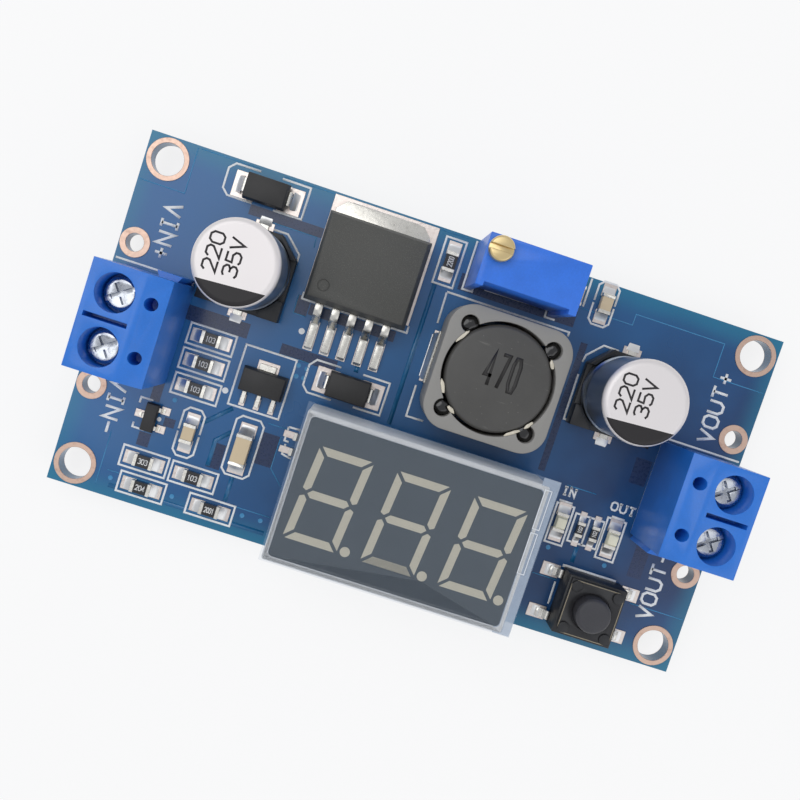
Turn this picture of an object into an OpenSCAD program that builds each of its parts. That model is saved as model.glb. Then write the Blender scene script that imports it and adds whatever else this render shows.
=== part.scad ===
/* [Board] */
// Length of the circuit board along X
board_length = 66; // [65.6:0.2:80]
// Width of the circuit board along Y
board_width = 35.8; // [35.6:0.2:50]
// Thickness of the circuit board
board_thickness = 1.6; // [1:0.2:2.4]
// Diameter of the four mounting holes
mounting_hole_d = 3.2; // [2.2:0.1:3.4]
// Distance from each mounting hole's centre to both board edges
mounting_hole_inset = 2.25; // [2.25:0.05:2.6]
// Width of the tinned ring around each mounting hole
mounting_ring_w = 0.5; // [0.3:0.05:0.5]
// Diameter of the four holes for soldered wires
wire_hole_d = 1.8; // [1.2:0.1:1.9]
// Width of the tinned ring around each wire hole
wire_ring_w = 0.6; // [0.3:0.05:0.6]
// Distance from each wire hole's centre to the board's end
wire_hole_inset = 1.55; // [1.55:0.05:1.8]
// Distance between the two wire holes at one end
wire_hole_spacing = 14.6; // [13.8:0.1:15.4]
// Thickness of the tinned copper lands and rings
land_t = 0.08; // [0.05:0.01:0.12]
// How far soldered pins reach below the board
pin_protrusion = 1.5; // [1.1:0.1:2.5]
// Height of the solder cone round each pin
solder_h = 0.8; // [0.4:0.1:1]
// Width of the solder cone beyond its pin's hole
solder_ring_w = 0.35; // [0.2:0.05:0.45]
// Gap between a pin and the wall of its hole
pin_hole_gap = 0.15; // [0.05:0.01:0.2]

/* [Screw terminals] */
// Distance from the board's end to the terminal's wire face
terminal_end_gap = 1.25; // [1:0.05:1.3]
// Place of both terminals along Y
terminal_y = -0.3; // [-0.6:0.1:0.3]
// Depth of the terminal housing from its wire face inwards
terminal_depth = 7.15; // [7:0.05:7.3]
// Width of the terminal housing
terminal_width = 10; // [9.9:0.1:10.6]
// Height of the terminal housing
terminal_height = 10; // [9.6:0.1:12]
// Distance between the two poles
pole_pitch = 5; // [4.9:0.02:5.2]
// Depth of the level part of the housing's top
terminal_flat = 4.9; // [4.6:0.1:5.2]
// How far the top falls towards the back
terminal_fall = 0.7; // [0.2:0.1:1.2]
// Distance from the wire face to the screw's axis
screw_setback = 2.6; // [2.5:0.05:2.7]
// Diameter of the screw's head
screw_head_d = 3.1; // [2.8:0.1:3.3]
// Height of the screw's head
screw_head_h = 1.3; // [1:0.1:1.6]
// Depth of the head's top below the housing's top
screw_head_recess = 1.9; // [1.8:0.05:2.2]
// Diameter of the screw's threaded shank
screw_shank_d = 2.4; // [2:0.1:2.4]
// Gap round the screw's head in its well
head_gap = 0.25; // [0.1:0.05:0.3]
// Gap round the shank where it passes the housing's ledge
shank_gap = 0.1; // [0.05:0.01:0.15]
// Gap between the shank and the cage's thread
thread_gap = 0.05; // [0.03:0.01:0.08]
// Thickness of the ledge that carries the screw's head
ledge_t = 0.6; // [0.5:0.05:0.8]
// Depth of the clamp cage along the wire
cage_depth = 3; // [2.8:0.1:3.1]
// Width of the clamp cage
cage_width = 3.7; // [3.4:0.1:3.8]
// Height of the clamp cage
cage_height = 4; // [3.9:0.05:4.1]
// Thickness of the cage's side walls
cage_wall = 0.6; // [0.4:0.05:0.7]
// Thickness of the cage's floor
cage_floor = 0.5; // [0.4:0.05:0.55]
// Thickness of the cage's threaded top bar
cage_bar = 0.9; // [0.8:0.05:0.95]
// Travel of the cage from open to clamped
cage_travel = 1.9; // [1.5:0.05:1.95]
// Gap between the cage and the walls of its chamber
cage_gap = 0.1; // [0.05:0.01:0.15]
// Thickness of the contact strip
contact_t = 0.5; // [0.4:0.05:0.55]
// Width of the terminal's solder pin
terminal_pin_w = 1; // [0.8:0.05:1.1]
// Distance from the wire face to the contact's upright
contact_setback = 5; // [4.6:0.1:5.3]
// Height of the wire entry
entry_h = 3; // [2.4:0.1:3.2]
// Width of the wire entry
entry_w = 3.2; // [2.6:0.1:3.4]
// Diameter of the probe holes in the top
probe_hole_d = 1.2; // [0.8:0.1:1.4]
// Distance from the wire face to the probe holes
probe_setback = 5.85; // [5.6:0.05:6.2]
// Length of the slot between the poles
pole_slot_l = 4; // [3:0.1:4.2]
// Width of the slot between the poles
pole_slot_w = 0.45; // [0.3:0.05:0.6]

/* [Input and output capacitors] */
// Diameter of the capacitor cans
can_d = 8; // [7.6:0.1:8.1]
// Height of the capacitor cans above the board
can_top = 10.2; // [8:0.1:13]
// Radius of the can's top edge
can_edge_r = 0.6; // [0.3:0.05:1]
// Depth of the crimp groove round the can
can_crimp = 0.35; // [0.2:0.05:0.5]
// Side of the capacitor's square base
cap_base_w = 8.3; // [8.2:0.1:8.6]
// Thickness of the capacitor's base
cap_base_t = 1; // [0.8:0.1:1.4]
// Length of the two cut corners of the base
cap_corner = 2; // [1.4:0.1:2.4]
// Width of the capacitor's leads
cap_lead_w = 0.9; // [0.6:0.1:1.3]
// Thickness of the capacitor's leads
cap_lead_t = 0.25; // [0.15:0.05:0.35]
// How far each lead reaches past the base
cap_lead_reach = 0.5; // [0.3:0.1:0.7]
// Distance from the can's axis to the leads' inner ends
cap_lead_start = 1.2; // [0.8:0.1:1.6]
// Height of the posts at the base's corners
cap_post_h = 1; // [0.6:0.1:1.4]
// Gap between the can and the posts
can_seat_gap = 0.1; // [0.05:0.05:0.2]
// Height of the crimp groove's middle above the can's foot
can_crimp_z = 2.1; // [1.9:0.1:2.6]
// Radius of the can's foot
can_foot_r = 0.3; // [0.2:0.05:0.5]

/* [Regulator] */
// Width of the regulator's moulded body
regulator_w = 10.2; // [9.8:0.1:10.4]
// Length of the regulator's moulded body
regulator_l = 8.8; // [8.6:0.1:9]
// Height of the regulator's moulded body
regulator_h = 4.4; // [4:0.1:4.8]
// Pitch of the regulator's leads
regulator_pitch = 1.7; // [1.6:0.05:1.8]
// Width of the regulator's leads
regulator_lead_w = 0.8; // [0.6:0.05:0.9]
// Thickness of the regulator's leads
regulator_lead_t = 0.45; // [0.35:0.05:0.5]
// Reach of the leads past the body
regulator_lead_reach = 4.5; // [4:0.1:4.7]
// Length of the leads' level part beside the body
regulator_shoulder = 1; // [0.8:0.1:1.2]
// Length over which the leads come down
regulator_lead_run = 0.9; // [0.6:0.1:1.2]
// Height at which the leads leave the body
regulator_exit_h = 2; // [1.8:0.1:2.2]
// Draft of the moulded body's faces, from its parting line to its top
regulator_draft = 0.4; // [0.2:0.05:0.5]
// Length of the lands under the leads
regulator_land_l = 3; // [2.6:0.1:3.4]
// Side of the land under the heat tab
tab_land_w = 10.8; // [10.6:0.1:11.2]
// Length of the land under the heat tab
tab_land_l = 10.1; // [9.8:0.1:10.4]
// Thickness of the heat tab
tab_t = 1.27; // [1:0.05:1.4]
// Width of the heat tab
tab_w = 9.6; // [9:0.1:9.8]
// Reach of the heat tab past the body
tab_reach = 1.4; // [1:0.1:1.6]

/* [Inductor] */
// Side of the inductor's square ferrite shield
inductor_w = 12; // [11.4:0.1:12.2]
// Height of the inductor
inductor_h = 7; // [5:0.1:8]
// Corner radius of the shield
inductor_corner = 2.4; // [1.5:0.1:3]
// Diameter of the drum core's flanges
drum_d = 10.1; // [9.6:0.1:10.3]
// Gap between the drum and the shield
drum_gap = 0.3; // [0.2:0.05:0.4]
// Thickness of the drum's flanges
flange_t = 1.3; // [1:0.1:1.6]
// Diameter of the drum's post
post_d = 5.2; // [4:0.1:6]
// Diameter over the copper winding
winding_d = 9.2; // [8:0.1:9.5]
// Diameter of the winding wire
winding_wire_d = 0.6; // [0.4:0.05:0.8]
// Width of the inductor's solder clips
clip_w = 5.3; // [4:0.1:6]
// Thickness of the inductor's solder clips
clip_t = 0.25; // [0.15:0.05:0.35]
// Height of each clip's upright
clip_h = 2.2; // [1.5:0.1:3]

/* [Trimmer] */
// Length of the trimmer's housing
trimmer_l = 9.5; // [9:0.1:9.6]
// Width of the trimmer's housing
trimmer_w = 4.8; // [4.6:0.1:4.9]
// Height of the trimmer's housing
trimmer_h = 10; // [8:0.1:11]
// Height of the trimmer's feet
trimmer_foot_h = 0.4; // [0.2:0.05:0.6]
// Depth of the recess along the trimmer's side
trimmer_recess = 0.45; // [0.3:0.05:0.6]
// Width of the corner ribs beside the recess
trimmer_rib = 0.75; // [0.5:0.05:1]
// Diameter of the adjusting screw's head
adjuster_d = 2.3; // [2:0.1:2.4]
// Height of the adjusting screw's head
adjuster_h = 1.1; // [0.8:0.1:1.6]
// Diameter of the adjusting screw's shaft
adjuster_shaft_d = 1.6; // [1.2:0.1:1.8]
// Depth of the adjusting screw's shaft
adjuster_depth = 4; // [2:0.5:6]
// Distance from the adjusting screw's axis to the housing's end
adjuster_inset = 1.25; // [1.2:0.05:1.4]
// Running gap round the adjusting screw's shaft
adjuster_gap = 0.05; // [0.03:0.01:0.08]
// Pitch of the trimmer's three pins
trimmer_pitch = 2.54; // [2.4:0.02:2.6]
// Diameter of the trimmer's pins
trimmer_pin_d = 0.5; // [0.4:0.05:0.6]

/* [Display] */
// Length of the display's shell
display_l = 23.5; // [23.3:0.1:23.8]
// Width of the display's shell
display_w = 14.6; // [14.4:0.1:14.8]
// Height of the display's face above the board
display_top = 8; // [7:0.1:9]
// Gap under the display for the parts it covers
display_standoff = 1.5; // [1.4:0.05:2]
// Length of the black front
front_l = 22.5; // [22.3:0.1:22.8]
// Width of the black front
front_w = 13.5; // [13.3:0.1:13.8]
// Thickness of the black front
front_t = 0.4; // [0.2:0.1:0.6]
// Height of the digits
digit_h = 9.1; // [8:0.1:9.4]
// Width of the digits
digit_w = 5.2; // [4.8:0.1:5.3]
// Distance between digits
digit_pitch = 7.5; // [7.4:0.05:7.6]
// Width of the digits' segments
segment_w = 0.75; // [0.6:0.05:0.9]
// Gap between neighbouring segments
segment_gap = 0.22; // [0.15:0.01:0.3]
// Slant of the digits in degrees
digit_slant = 5; // [0:0.5:6]
// Diameter of the decimal points
point_d = 0.95; // [0.8:0.05:1.1]
// Thickness of the clear film over the front
film_t = 0.1; // [0.06:0.01:0.15]
// Pitch of the display's pins
display_pitch = 2.54; // [2.4:0.02:2.6]
// Distance between the display's two pin rows
display_row = 10.16; // [10:0.02:10.6]
// Thickness of the display's pins
display_pin_t = 0.5; // [0.4:0.05:0.55]

/* [Push switch] */
// Side of the switch's square body
switch_w = 6; // [5.8:0.1:6.2]
// Height of the switch's body without its cover
switch_h = 3.1; // [3:0.1:3.6]
// Thickness of the switch's cover
switch_cover_t = 0.4; // [0.3:0.05:0.5]
// Side of the switch's cover
switch_cover_w = 5.6; // [5.4:0.1:5.8]
// Diameter of the button
button_d = 3.5; // [3:0.1:3.7]
// Height of the button above the cover
button_rise = 1.4; // [0.8:0.1:4]
// Travel of the button
button_travel = 0.25; // [0.2:0.01:0.35]
// Gap round the button
button_gap = 0.2; // [0.1:0.05:0.3]
// Thickness of the snap dome
dome_t = 0.1; // [0.08:0.01:0.12]
// Height of the snap dome when the button is down
dome_pressed_h = 0.25; // [0.2:0.01:0.35]
// Diameter of the snap dome
dome_d = 4; // [3.6:0.1:4.2]
// Distance from the switch's centre to its lead tips
switch_lead_reach = 4.45; // [4.2:0.05:4.5]

/* [Small parts] */
// Length of the larger chip parts
chip_l = 2; // [1.8:0.05:2.1]
// Width of the larger chip parts
chip_w = 1.25; // [1.1:0.05:1.3]
// Thickness of the larger resistors
resistor_t = 0.55; // [0.4:0.05:0.65]
// Thickness of the larger ceramic capacitors
ceramic_t = 0.9; // [0.7:0.05:1.2]
// Length of the smaller resistors
small_chip_l = 1.6; // [1.5:0.05:1.7]
// Width of the smaller resistors
small_chip_w = 0.8; // [0.7:0.05:0.9]
// Thickness of the smaller resistors
small_chip_t = 0.45; // [0.35:0.05:0.55]
// Length of the bulk ceramic capacitor
bulk_chip_l = 3.2; // [3:0.05:3.4]
// Width of the bulk ceramic capacitor
bulk_chip_w = 1.6; // [1.4:0.05:1.7]
// Thickness of the bulk ceramic capacitor
bulk_chip_t = 1.5; // [1:0.05:1.7]
// Length of the metal ends of chip parts
chip_end = 0.35; // [0.25:0.05:0.4]
// Thickness of the metal on chip ends
end_t = 0.04; // [0.03:0.01:0.06]
// Thickness of the indicators' bases
led_base_t = 0.4; // [0.3:0.05:0.5]
// Height of the indicators' lenses above their bases
led_lens_h = 0.45; // [0.3:0.05:0.6]
// Draft of the indicators' lenses
led_draft = 0.1; // [0.05:0.01:0.15]
// Length of the diodes' bodies
diode_l = 4.2; // [4:0.05:4.4]
// Width of the diodes' bodies
diode_w = 2.6; // [2.4:0.05:2.8]
// Height of the diodes
diode_h = 2.2; // [1.9:0.05:2.4]
// Width of the diodes' leads
diode_lead_w = 1.4; // [1.2:0.05:1.6]

/* [Hidden] */
$fn = 48;
cut = 0.5;
skin = 0.01;
top = board_thickness;
on_land = top + land_t;
pin_tip = -pin_protrusion;

// A place along the usual board, moved by a share of what is added to the board's length
usual_length = 66;
function along(x, share) = x + share * (board_length - usual_length);

// Places of the parts on the board: X, Y and, for chips, the turn in degrees
input_capacitor_spot = [along(-19.9, -0.5), 8];
output_capacitor_spot = [along(18.7, 0.5), 7.6];
regulator_spot = [along(-8.9, -0.265), 11.4];
inductor_spot = [along(5.75, 0.13), 5.45];
trimmer_spot = [along(5.35, -0.08), 15.3];
display_spot = [along(1.75, -0.12), -9.75];
display_driver_spot = display_spot;
switch_spot = [along(22.35, 0.5), -13.6];
input_diode_spot = [along(-20.55, -0.5), 15.6];
catch_diode_spot = [along(-7.2, -0.2), -0.15];
logic_supply_spot = [along(-15.35, -0.5), -2.3];
transistor_spot = [along(-24.9, -0.5), -8.9];
resistor_spots = [
    [along(-21.55, -0.5), 0.25, 0],
    [along(-21.55, -0.5), -2.3, 0],
    [along(-21.55, -0.5), -4.9, 0],
    [along(-1.5, -0.2), 14.9, 90],
    [along(-24.3, -0.5), -13.4, 0],
    [along(-19.2, -0.5), -13.45, 0],
    [along(-23.8, -0.5), -16, 0],
    [along(-16.65, -0.5), -16.05, 0]
];
small_resistor_spots = [
    [along(19.5, 0.5), -6.5, 90],
    [along(21.05, 0.5), -6.5, 90],
    [along(-10.1, -0.12), -6.35, 0],
    [along(-10.1, -0.12), -7.95, 0]
];
ceramic_spots = [
    [along(-20.9, -0.5), -9.3, 90],
    [along(14.5, 0.2), 15.8, 90],
    [along(11.45, -0.04), 15.8, 90]
];
bulk_ceramic_spot = [along(-15.4, -0.5), -9.2, 90];
led_spots = [[along(17.4, 0.5), -6.4, 90], [along(22.95, 0.5), -6.45, 90]];

// Heights inside a terminal, from the board's top
head_seat = terminal_height - screw_head_recess - screw_head_h;
chamber_top = head_seat - ledge_t;
cage_rest = chamber_top - cage_travel - cage_height - cage_gap;
contact_top = cage_rest + cage_height - cage_bar - cage_gap / 2;
shank_end = contact_top + 2 * cage_gap;
contact_w = cage_width - 2 * cage_wall - 2 * cage_gap;
dovetail_h = terminal_height - 4;
dovetail_w = 1.8;
dovetail_flare = 0.3;
dovetail_reach = 0.55;
dovetail_setback = 1.35;
dovetail_gap = 0.05;
pole_slot_rise = 0.4;
probe_depth = 3.2;
funnel_flare = 0.35;
funnel_depth = 0.6;
screw_turned = 35;
cross_w = 0.42;
cross_l = 0.66 * screw_head_d;
cross_depth = 0.7;
slot_depth = 0.35;
head_bevel = 0.3;
floor_rib_w = 0.3;
floor_rib_h = 0.12;
floor_rib_pitch = 0.9;
pole_sides = [-1, 1];

// Land reach of chip parts past their body, and their land width beyond it
land_reach = 1.05;
land_spread = 0.1;

// How far the other lands reach past what is soldered to them, and their lengths
land_out = 0.3;
diode_land_out = 0.25;
diode_land_l = 2.3;
cap_land_l = 3;
cap_land_spread = 1;
clip_land_l = 2.3;
switch_land = [1.9, 1.4];
switch_land_out = 0.8;
driver_land_l = 1.1;
driver_land_out = 0.05;

// Shared shapes

function unit(v) = v / norm(v);

// A bent path: each inner corner becomes a short curve that starts and ends `reach` from it
function bent(path, reach) = [
    path[0],
    for (i = [1 : len(path) - 2], s = [0 : 0.25 : 1])
        let (a = path[i] + reach * unit(path[i - 1] - path[i]),
             b = path[i] + reach * unit(path[i + 1] - path[i]))
        (1 - s) * (1 - s) * a + 2 * s * (1 - s) * path[i] + s * s * b,
    path[len(path) - 1]
];

// One side of a strip that follows a path
function strip_side(path, distance) = [
    for (i = [0 : len(path) - 1])
        let (way = unit(path[min(i + 1, len(path) - 1)] - path[max(i - 1, 0)]))
        path[i] + distance * [-way.y, way.x]
];

function reversed(list) = [for (i = [len(list) - 1 : -1 : 0]) list[i]];

// A metal strip bent in the XZ plane, centred on Y
module bent_strip(path, thickness, width, reach) {
    line = bent(path, reach);
    rotate([90, 0, 0])
        linear_extrude(height = width, center = true)
            polygon(concat(strip_side(line, thickness / 2), reversed(strip_side(line, -thickness / 2))));
}

// Path of a gull-wing lead that leaves a body's face at x = 0
function gull_path(exit_z, foot_z, shoulder, run, reach) =
    [[0, exit_z], [shoulder, exit_z], [shoulder + run, foot_z], [reach, foot_z]];

module block(size, z = 0) {
    translate([-size.x / 2, -size.y / 2, z]) cube(size);
}

module tapered_block(lower, upper, height, z = 0) {
    corners = [[-0.5, -0.5], [0.5, -0.5], [0.5, 0.5], [-0.5, 0.5]];
    points = concat(
        [for (c = corners) [c.x * lower.x, c.y * lower.y, z]],
        [for (c = corners) [c.x * upper.x, c.y * upper.y, z + height]]
    );
    polyhedron(points, [[0, 1, 2, 3], [7, 6, 5, 4], [4, 5, 1, 0], [5, 6, 2, 1], [6, 7, 3, 2], [7, 4, 0, 3]]);
}

// A moulded package: an upright band at its parting line, with drafted faces above and below it
module moulded_package(size, bottom, band_z, band_h, draft) {
    lower = [size.x - 2 * draft, size.y - 2 * draft];
    tapered_block(lower, size, band_z - bottom, bottom);
    block([size.x, size.y, band_h], band_z);
    tapered_block(size, lower, bottom + size.z - band_z - band_h, band_z + band_h);
}

module rounded_square(w, d, r) {
    square([w, d - 2 * r], center = true);
    square([w - 2 * r, d], center = true);
    for (x = [-1, 1], y = [-1, 1]) translate([x * (w / 2 - r), y * (d / 2 - r)]) circle(r);
}

module at(spot, z = 0, turn = 0) {
    translate([spot.x, spot.y, z]) rotate([0, 0, turn]) children();
}

module tube(outer_d, inner_d, height, z = 0) {
    translate([0, 0, z]) difference() {
        cylinder(d = outer_d, h = height);
        translate([0, 0, -cut]) cylinder(d = inner_d, h = height + 2 * cut);
    }
}

// Board

module at_mounting_holes() {
    for (x = [-1, 1], y = [-1, 1])
        translate([
            x * (board_length / 2 - mounting_hole_inset),
            y * (board_width / 2 - mounting_hole_inset),
            0
        ]) children();
}

module at_wire_holes() {
    for (x = [-1, 1], y = [-1, 1])
        translate([x * (board_length / 2 - wire_hole_inset), terminal_y + y * wire_hole_spacing / 2, 0])
            children();
}

module at_input() {
    translate([-board_length / 2 + terminal_end_gap, terminal_y, top]) children();
}

module at_output() {
    translate([board_length / 2 - terminal_end_gap, terminal_y, top]) rotate([0, 0, 180]) children();
}

module at_terminal_pins() {
    for (side = pole_sides) {
        at_input() translate([contact_setback + contact_t / 2, side * pole_pitch / 2, -top]) children();
        at_output() translate([contact_setback + contact_t / 2, side * pole_pitch / 2, -top]) children();
    }
}

module at_trimmer_pins() {
    for (i = [-1, 0, 1]) at(trimmer_spot) translate([i * trimmer_pitch, 0, 0]) children();
}

module at_display_pins() {
    for (i = [-2.5 : 2.5], side = [-1, 1])
        at(display_spot) translate([i * display_pitch, side * display_row / 2, 0]) children();
}

terminal_hole_d = norm([terminal_pin_w, contact_t]) + pin_hole_gap;
trimmer_hole_d = trimmer_pin_d + 2 * pin_hole_gap;
display_hole_d = display_pin_t + 2 * pin_hole_gap;

module drill(d) {
    translate([0, 0, -cut]) cylinder(d = d, h = board_thickness + 2 * cut);
}

module board() {
    color("steelblue") difference() {
        block([board_length, board_width, board_thickness]);
        at_mounting_holes() drill(mounting_hole_d);
        at_wire_holes() drill(wire_hole_d);
        at_terminal_pins() drill(terminal_hole_d);
        at_trimmer_pins() drill(trimmer_hole_d);
        at_display_pins() drill(display_hole_d);
    }
}

module ring_pair(hole_d, ring_w) {
    tube(hole_d + 2 * ring_w, hole_d, land_t, top);
    tube(hole_d + 2 * ring_w, hole_d, land_t, -land_t);
}

module hole_rings() {
    color("tan") {
        at_mounting_holes() ring_pair(mounting_hole_d, mounting_ring_w);
        at_wire_holes() ring_pair(wire_hole_d, wire_ring_w);
    }
}

// Solder

module land(w, d) {
    block([w, d, land_t], top);
}

module chip_lands(l, w) {
    inner = l / 2 - chip_end;
    outer = l / 2 + land_reach;
    for (side = [-1, 1]) translate([side * (inner + outer) / 2, 0, 0]) land(outer - inner, w + land_spread);
}

module solder_lands() {
    color("silver") {
        for (s = resistor_spots) at(s, 0, s.z) chip_lands(chip_l, chip_w);
        for (s = ceramic_spots) at(s, 0, s.z) chip_lands(chip_l, chip_w);
        for (s = led_spots) at(s, 0, s.z) chip_lands(chip_l, chip_w);
        for (s = small_resistor_spots)
            at(s, 0, s.z) chip_lands(small_chip_l, small_chip_w - 2 * land_spread);
        at(bulk_ceramic_spot, 0, bulk_ceramic_spot.z) chip_lands(bulk_chip_l, bulk_chip_w);
        for (s = [input_diode_spot, catch_diode_spot], side = [-1, 1])
            at(s) translate([side * (diode_l / 2 + diode_land_out), 0, 0]) land(diode_land_l, diode_w);
        for (s = [input_capacitor_spot, output_capacitor_spot], side = [-1, 1])
            at(s) translate([0, side * (cap_base_w / 2 + cap_lead_reach - cap_land_l / 2 + land_out), 0])
                land(cap_lead_w + cap_land_spread, cap_land_l);
        at(regulator_spot) regulator_lands();
        at(inductor_spot) for (side = [-1, 1])
            translate([side * (inductor_w / 2 + clip_t + land_out - clip_land_l / 2), 0, 0])
                land(clip_land_l, clip_w);
        at(switch_spot) at_switch_leads()
            translate([switch_lead_reach + switch_land_out - switch_land.x / 2, 0, 0])
                land(switch_land.x, switch_land.y);
        at(logic_supply_spot) logic_supply_lands();
        at(transistor_spot) transistor_lands();
        at(display_driver_spot) at_driver_leads()
            translate([driver_reach + driver_land_out - driver_land_l / 2, 0, 0])
                land(driver_land_l, driver_lead_w);
    }
}

// A cone of solder on the underside, round a pin that stands in it
module solder_cone(hole_d) {
    difference() {
        translate([0, 0, -solder_h]) cylinder(d1 = hole_d, d2 = hole_d + 2 * solder_ring_w, h = solder_h);
        children();
    }
}

module solder_joints() {
    color("lightgray") {
        at_terminal_pins() solder_cone(terminal_hole_d)
            block([contact_t, terminal_pin_w, 2 * top], -top - cut);
        at_trimmer_pins() solder_cone(trimmer_hole_d)
            translate([0, 0, -top]) cylinder(d = trimmer_pin_d, h = 2 * top);
        at_display_pins() solder_cone(display_hole_d)
            block([display_pin_t, display_pin_t / 2, 2 * top], -top);
    }
}

// Screw terminals: x runs from the wire face inwards, z from the board's top

module at_pole(side) {
    translate([0, side * pole_pitch / 2, 0]) children();
}

module dovetail(grow = 0) {
    w = dovetail_w / 2 + grow;
    reach = dovetail_reach + grow;
    translate([terminal_depth - dovetail_setback, 0, 0])
        linear_extrude(height = dovetail_h)
            polygon([[-w, 0], [w, 0], [w + dovetail_flare, reach], [-w - dovetail_flare, reach]]);
}

module terminal_housing() {
    chamber_w = cage_width + 2 * cage_gap;
    chamber_d = cage_depth + 2 * cage_gap;
    difference() {
        union() {
            rotate([90, 0, 0]) linear_extrude(height = terminal_width, center = true)
                polygon([
                    [0, 0], [0, terminal_height], [terminal_flat, terminal_height],
                    [terminal_depth, terminal_height - terminal_fall], [terminal_depth, 0]
                ]);
            translate([0, terminal_width / 2, 0]) dovetail();
        }
        translate([0, -terminal_width / 2 - skin, -cut]) dovetail(dovetail_gap);
        translate([(terminal_flat - pole_slot_l) / 2, -pole_slot_w / 2, head_seat + pole_slot_rise])
            cube([pole_slot_l, pole_slot_w, terminal_height]);
        for (side = pole_sides) at_pole(side) {
            translate([screw_setback, 0, head_seat])
                cylinder(d = screw_head_d + 2 * head_gap, h = terminal_height);
            translate([screw_setback, 0, 0])
                cylinder(d = screw_shank_d + 2 * shank_gap, h = terminal_height);
            translate([screw_setback - chamber_d / 2, -chamber_w / 2, -cut])
                cube([chamber_d, chamber_w, chamber_top + cut]);
            translate([screw_setback, -contact_w / 2, -cut])
                cube([contact_setback + contact_t - screw_setback, contact_w, contact_top + cut]);
            translate([-cut, -entry_w / 2, cage_rest + cage_floor])
                cube([screw_setback, entry_w, entry_h]);
            entry_funnel();
            translate([probe_setback, 0, terminal_height - probe_depth])
                cylinder(d = probe_hole_d, h = probe_depth + cut);
        }
    }
}

// The flare of a wire entry
module entry_funnel() {
    mouth = [entry_h + 2 * funnel_flare, entry_w + 2 * funnel_flare];
    translate([-skin, 0, cage_rest + cage_floor + entry_h / 2])
        rotate([0, 90, 0]) tapered_block(mouth, [entry_h, entry_w], funnel_depth);
}

module terminal_contacts() {
    front = screw_setback - cage_depth / 2 - cage_gap;
    for (side = pole_sides) at_pole(side) {
        translate([front, -contact_w / 2, contact_top - contact_t])
            cube([contact_setback + contact_t - front, contact_w, contact_t]);
        translate([contact_setback, -contact_w / 2, 0]) cube([contact_t, contact_w, contact_top]);
        translate([contact_setback, -terminal_pin_w / 2, pin_tip - top])
            cube([contact_t, terminal_pin_w, top - pin_tip + contact_t]);
    }
}

module terminal_screw() {
    head_top = head_seat + screw_head_h;
    translate([screw_setback, 0, 0]) difference() {
        union() {
            translate([0, 0, shank_end]) cylinder(d = screw_shank_d, h = head_top - shank_end - head_bevel);
            translate([0, 0, head_seat]) cylinder(d = screw_head_d, h = screw_head_h - head_bevel);
            translate([0, 0, head_top - head_bevel])
                cylinder(d1 = screw_head_d, d2 = screw_head_d - 2 * head_bevel, h = head_bevel);
        }
        for (turn = [screw_turned, screw_turned + 90])
            rotate([0, 0, turn]) block([cross_l, cross_w, cut + cross_depth], head_top - cross_depth);
        rotate([0, 0, screw_turned])
            block([screw_head_d + cut, cross_w, cut + slot_depth], head_top - slot_depth);
    }
}

module terminal_cage() {
    inner_w = cage_width - 2 * cage_wall;
    translate([screw_setback, 0, cage_rest]) difference() {
        block([cage_depth, cage_width, cage_height]);
        block([cage_depth + cut, inner_w, cage_height - cage_floor - cage_bar], cage_floor);
        translate([0, 0, cage_height - cage_bar - cut])
            cylinder(d = screw_shank_d + 2 * thread_gap, h = cage_bar + 2 * cut);
        for (i = [-1, 0, 1]) translate([i * floor_rib_pitch, 0, 0])
            block([floor_rib_w, inner_w, cut], cage_floor - floor_rib_h);
    }
}

module input_terminal_housing() { color("dodgerblue") at_input() terminal_housing(); }
module output_terminal_housing() { color("dodgerblue") at_output() terminal_housing(); }
module input_terminal_contacts() { color("silver") at_input() terminal_contacts(); }
module output_terminal_contacts() { color("silver") at_output() terminal_contacts(); }
module input_plus_screw() { color("darkgray") at_input() at_pole(1) terminal_screw(); }
module input_minus_screw() { color("darkgray") at_input() at_pole(-1) terminal_screw(); }
module output_plus_screw() { color("darkgray") at_output() at_pole(-1) terminal_screw(); }
module output_minus_screw() { color("darkgray") at_output() at_pole(1) terminal_screw(); }
module input_plus_cage() { color("gray") at_input() at_pole(1) terminal_cage(); }
module input_minus_cage() { color("gray") at_input() at_pole(-1) terminal_cage(); }
module output_plus_cage() { color("gray") at_output() at_pole(-1) terminal_cage(); }
module output_minus_cage() { color("gray") at_output() at_pole(1) terminal_cage(); }

// Electrolytic capacitors: the cut corners of the base face +Y

can_r = can_d / 2;

module cap_outline() {
    half = cap_base_w / 2;
    polygon([
        [-half, -half], [half, -half], [half, half - cap_corner],
        [half - cap_corner, half], [-half + cap_corner, half], [-half, half - cap_corner]
    ]);
}

module cap_base() {
    translate([0, 0, on_land]) difference() {
        union() {
            linear_extrude(height = cap_base_t) cap_outline();
            linear_extrude(height = cap_base_t + cap_post_h) intersection() {
                cap_outline();
                for (x = [-0.5, 0.5], y = [-0.5, 0.5])
                    translate(cap_base_w * [x, y]) square(cap_base_w / 2, center = true);
            }
        }
        translate([0, 0, cap_base_t]) cylinder(d = can_d + 2 * can_seat_gap, h = cap_post_h + cut);
        for (side = [-1, 1])
            translate([-cap_lead_w / 2, side > 0 ? cap_lead_start : -cap_base_w, -cut])
                cube([cap_lead_w, cap_base_w - cap_lead_start, cap_lead_t + cut]);
    }
}

module cap_leads() {
    for (side = [-1, 1]) rotate([0, 0, side * 90])
        translate([cap_lead_start, -cap_lead_w / 2, on_land])
            cube([cap_base_w / 2 + cap_lead_reach - cap_lead_start, cap_lead_w, cap_lead_t]);
}

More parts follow.
